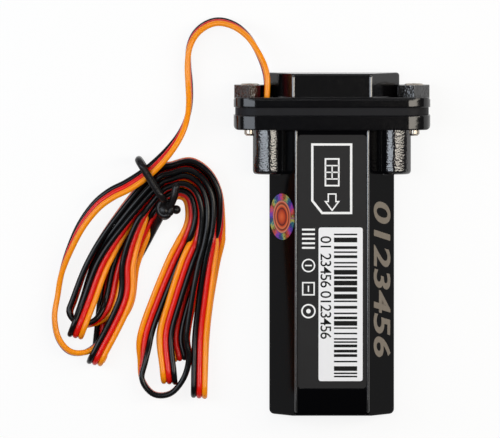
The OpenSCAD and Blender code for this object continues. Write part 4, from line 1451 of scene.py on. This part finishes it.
@dataclass
class Tie:
    """Coated wire round the lead and the hank, with its knot and two free ends.

    The loop's plane leans by angle through centre; reach and height are its two sides. The balls, the turn
    and the neck are placed from the knot.
    """

    thick: float = 2.0
    thin: float = 0.9
    step: float = 0.5
    centre: Point = (-43.1, 9.7)
    angle: float = 122.0
    reach: Point = (2.1, 14.6)
    height: Point = (1.0, 10.8)
    corner: float = 2.4
    corner_points: int = 7
    knot: Place = (-44.2, 9.1, 6.0)
    tail: tuple[Place, ...] = (
        (0, 0, 6), (-1.2, -2.6, 4.6), (-2.8, -5.6, 2.0), (-4.6, -9, 1.1), (-6.9, -13.2, 1.1))
    stub: tuple[Place, ...] = ((0, 0, 6), (1.4, 0.6, 8), (2.6, 3.2, 9.2), (3.2, 6, 9.4))
    balls: tuple[tuple[str, Place, Place], ...] = (
        ("tie_knot", (0.2, -0.4, 0.6), (2.0, 2.5, 1.9)),
        ("tie_second_knot", (3.2, -0.1, 0.8), (1.25, 1.2, 1.2)))
    turn: Point = (-0.6, 5.2)
    turn_centre: Place = (0.3, 0.2, 1.6)
    turn_radii: Place = (1.6, 1.9, 0.5)
    turn_points: int = 40
    neck: tuple[Place, Place] = ((0, 0, 0.8), (3.2, 0, 0.8))
    neck_points: int = 8

    def loop_line(self) -> np.ndarray:
        """The loop: a rectangle with round corners in the upright plane through the bend's centre.

        Returns:
            Its points, closed.
        """
        (r0, r1), (z0, z1), c = self.reach, self.height, self.corner
        a = np.radians(np.linspace(0, 90, self.corner_points))
        corners = [(r1 - c, z1 - c, 0), (r0 + c, z1 - c, 90), (r0 + c, z0 + c, 180), (r1 - c, z0 + c, 270)]
        flat = np.vstack([np.c_[x + c * np.cos(a + math.radians(t)), z + c * np.sin(a + math.radians(t))]
                          for x, z, t in corners])
        flat = np.vstack([flat, flat[:1]])
        lean = math.radians(self.angle)
        along, height = flat.T
        return np.c_[self.centre[0] + along * math.cos(lean), self.centre[1] + along * math.sin(lean), height]

    def build(self) -> list[bpy.types.Object]:
        """Makes the loop, the knot with its small second turn and the two free ends.

        Returns:
            The pieces.
        """
        knot = np.array(self.knot)
        pieces = [tube("tie_loop", smooth_path(self.loop_line(), self.step), self.thick / 2, TIE_BLACK)]
        for name, route in (("tie_tail", self.tail), ("tie_stub", self.stub)):
            points = np.array(route, float) + [knot[0], knot[1], 0]
            pieces.append(tube(name, smooth_path(points, self.step), self.thick / 2, TIE_BLACK))
        pieces += [ball(name, knot + place, radii, TIE_BLACK) for name, place, radii in self.balls]
        a = np.linspace(*self.turn, self.turn_points)
        coil = np.c_[np.cos(a), np.sin(a), np.cos(a)] * self.turn_radii + self.turn_centre
        for name, path in (("tie_turn", coil), ("tie_neck", np.linspace(*self.neck, self.neck_points))):
            pieces.append(tube(name, knot + path, self.thick / 2 * self.thin, TIE_BLACK))
        for piece in pieces:
            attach(piece, "cap")
            LOG.info("%s: tied", piece.name)
        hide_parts("cable_tie")
        return pieces


# Studio


@dataclass(frozen=True)
class Softbox:
    """A lamp's name, place, size, power and colour, in millimetres and watts."""

    name: str
    at: Place
    size: Point
    watts: float
    color: Colour

    def hang(self, target: Place) -> None:
        """Hangs the lamp so that it faces a place, given in millimetres."""
        data = bpy.data.lights.new(self.name, "AREA")
        data.shape = "RECTANGLE"
        data.size, data.size_y = self.size[0] * MM, self.size[1] * MM
        data.energy = self.watts
        data.color = self.color
        piece = in_scene(self.name, data)
        piece.location = Vector(self.at) * MM
        way = (Vector(target) - Vector(self.at)).normalized()
        piece.rotation_euler = way.to_track_quat("-Z", "Y").to_euler()


@dataclass
class Studio:
    """White table, camera over the foot of the object, two tinted softboxes beside it and a white one behind.

    The camera starts to see at nearest, in metres; glow is the share of plain white in what it sees of the
    table, and the lamps face target.
    """

    centre: Place = (-21.55, 6.24, 0.0)
    camera_at: Place = (-21.55, 111.8, 2400.0)
    lens: float = 655.2
    sensor: float = 36.0
    nearest: float = 0.05
    table_half: float = 3000.0
    glow: float = 0.88
    sky_light: float = 0.14
    sky_color: Colour = (1.0, 0.99, 0.97)
    target: Place = (0.0, 0.0, 5.0)
    lamps: tuple[Softbox, ...] = (
        Softbox("softbox_left", (-270, 60, 330), (170, 460), 1.15, (0.84, 0.91, 1.0)),
        Softbox("softbox_right", (250, 60, 330), (110, 460), 1.15, (1.0, 0.93, 0.82)),
        Softbox("softbox_top", (0, 460, 260), (500, 100), 0.3, (1.0, 1.0, 1.0)))

    def camera(self) -> None:
        """Stands the camera nearly straight above, as in the photograph."""
        data = bpy.data.cameras.new("camera")
        data.lens = self.lens
        data.sensor_width = self.sensor
        data.clip_start = self.nearest
        piece = in_scene("camera", data)
        piece.location = Vector(self.camera_at) * MM
        lean = math.atan2(self.camera_at[1] - self.centre[1], self.camera_at[2])
        piece.rotation_euler = (-lean, 0.0, 0.0)
        bpy.context.scene.camera = piece

    def table(self) -> None:
        """Lays the table: white to the camera and in reflections, a matte floor that keeps the shadow."""
        half = self.table_half
        points = np.array([(x, y, 0) for x, y in rectangle(-half, -half, half, half)], float)
        floor = Finish("table_white", (0.93, 0.93, 0.93), 0.9, specular=0.1, mottle=40.0)
        piece = mesh_piece("table", points, [[0, 1, 2, 3]], floor, None)
        self.whiten(piece.data.materials[0])

    def whiten(self, material: bpy.types.Material) -> None:
        """Lightens the table's shade for the camera, and in reflections and glass.

        Args:
            material: The table's material.
        """
        tree = material.node_tree
        path = tree.nodes.new("ShaderNodeLightPath")
        white = tree.nodes.new("ShaderNodeEmission")
        white.inputs["Strength"].default_value = 1.0
        rays = path.outputs
        mirrored = sum_node(tree, "MAXIMUM", rays["Is Glossy Ray"], rays["Is Transmission Ray"])
        seen = sum_node(tree, "MAXIMUM", rays["Is Camera Ray"], mirrored)
        mix = tree.nodes.new("ShaderNodeMixShader")
        tree.links.new(sum_node(tree, "MULTIPLY", seen, self.glow), mix.inputs["Fac"])
        tree.links.new(tree.nodes["Principled BSDF"].outputs["BSDF"], mix.inputs[1])
        tree.links.new(white.outputs["Emission"], mix.inputs[2])
        tree.links.new(mix.outputs["Shader"], tree.nodes["Material Output"].inputs["Surface"])

    def sky(self) -> None:
        """Lights the object softly from all sides."""
        world = bpy.data.worlds.new("sky")
        bpy.context.scene.world = world
        world.use_nodes = True
        back = world.node_tree.nodes["Background"]
        back.inputs["Color"].default_value = (*self.sky_color, 1)
        back.inputs["Strength"].default_value = self.sky_light

    def build(self) -> None:
        """Sets up the whole studio."""
        bpy.context.scene.view_settings.view_transform = "Standard"
        self.camera()
        self.table()
        self.sky()
        for softbox in self.lamps:
            softbox.hang(self.target)


def paint_nodes(frame: dict, finishes: dict[str, Finish]) -> None:
    """Gives the solids that stay as they are their procedural finishes.

    Args:
        frame: The loaded frame.
        finishes: Finish of each solid.
    """
    for node, finish in finishes.items():
        mesh = frame["nodes"][node].data
        mesh.materials.clear()
        mesh.materials.append(finish.make())
        LOG.info("%s: %s", node, finish.name)


def main() -> None:
    """Builds the whole scene in order."""
    logging.basicConfig(level=logging.INFO, format="%(message)s")
    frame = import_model()
    paint_nodes(frame, NODE_FINISH)
    CaseMoulding("case_body", "housing", GLOSS_BLACK, edge=0.19, edge_finish=EDGE_BLACK).build(frame)
    CapMoulding("end_cap", "cap", FLANGE_BLACK, edge=0.4, edge_finish=EDGE_BLACK).build(frame)
    Moulding("gasket", "cap", GASKET_GREY, edge=0.15).build(frame)
    Moulding("screw_left", "screw_l", SCREW_NICKEL, edge=0.12).build(frame)
    Moulding("screw_right", "screw_r", SCREW_NICKEL, edge=0.12).build(frame)
    CornerBead("case_bead", "housing", 9.42, 13.38, (30.1, -43.7), 0.38).build()
    CornerBead("dome_bead", "cap", 10.15, 13.28, (38.8, 44.1), 0.5).build()
    CollarWebShadeFill().build()
    FrontPrint().build()
    IdSticker().build()
    SidePrint().build()
    SealSticker().build()
    tie = Tie().build()
    RibbonCable().build(tie)
    Studio().build()


if __name__ == "__main__":
    main()
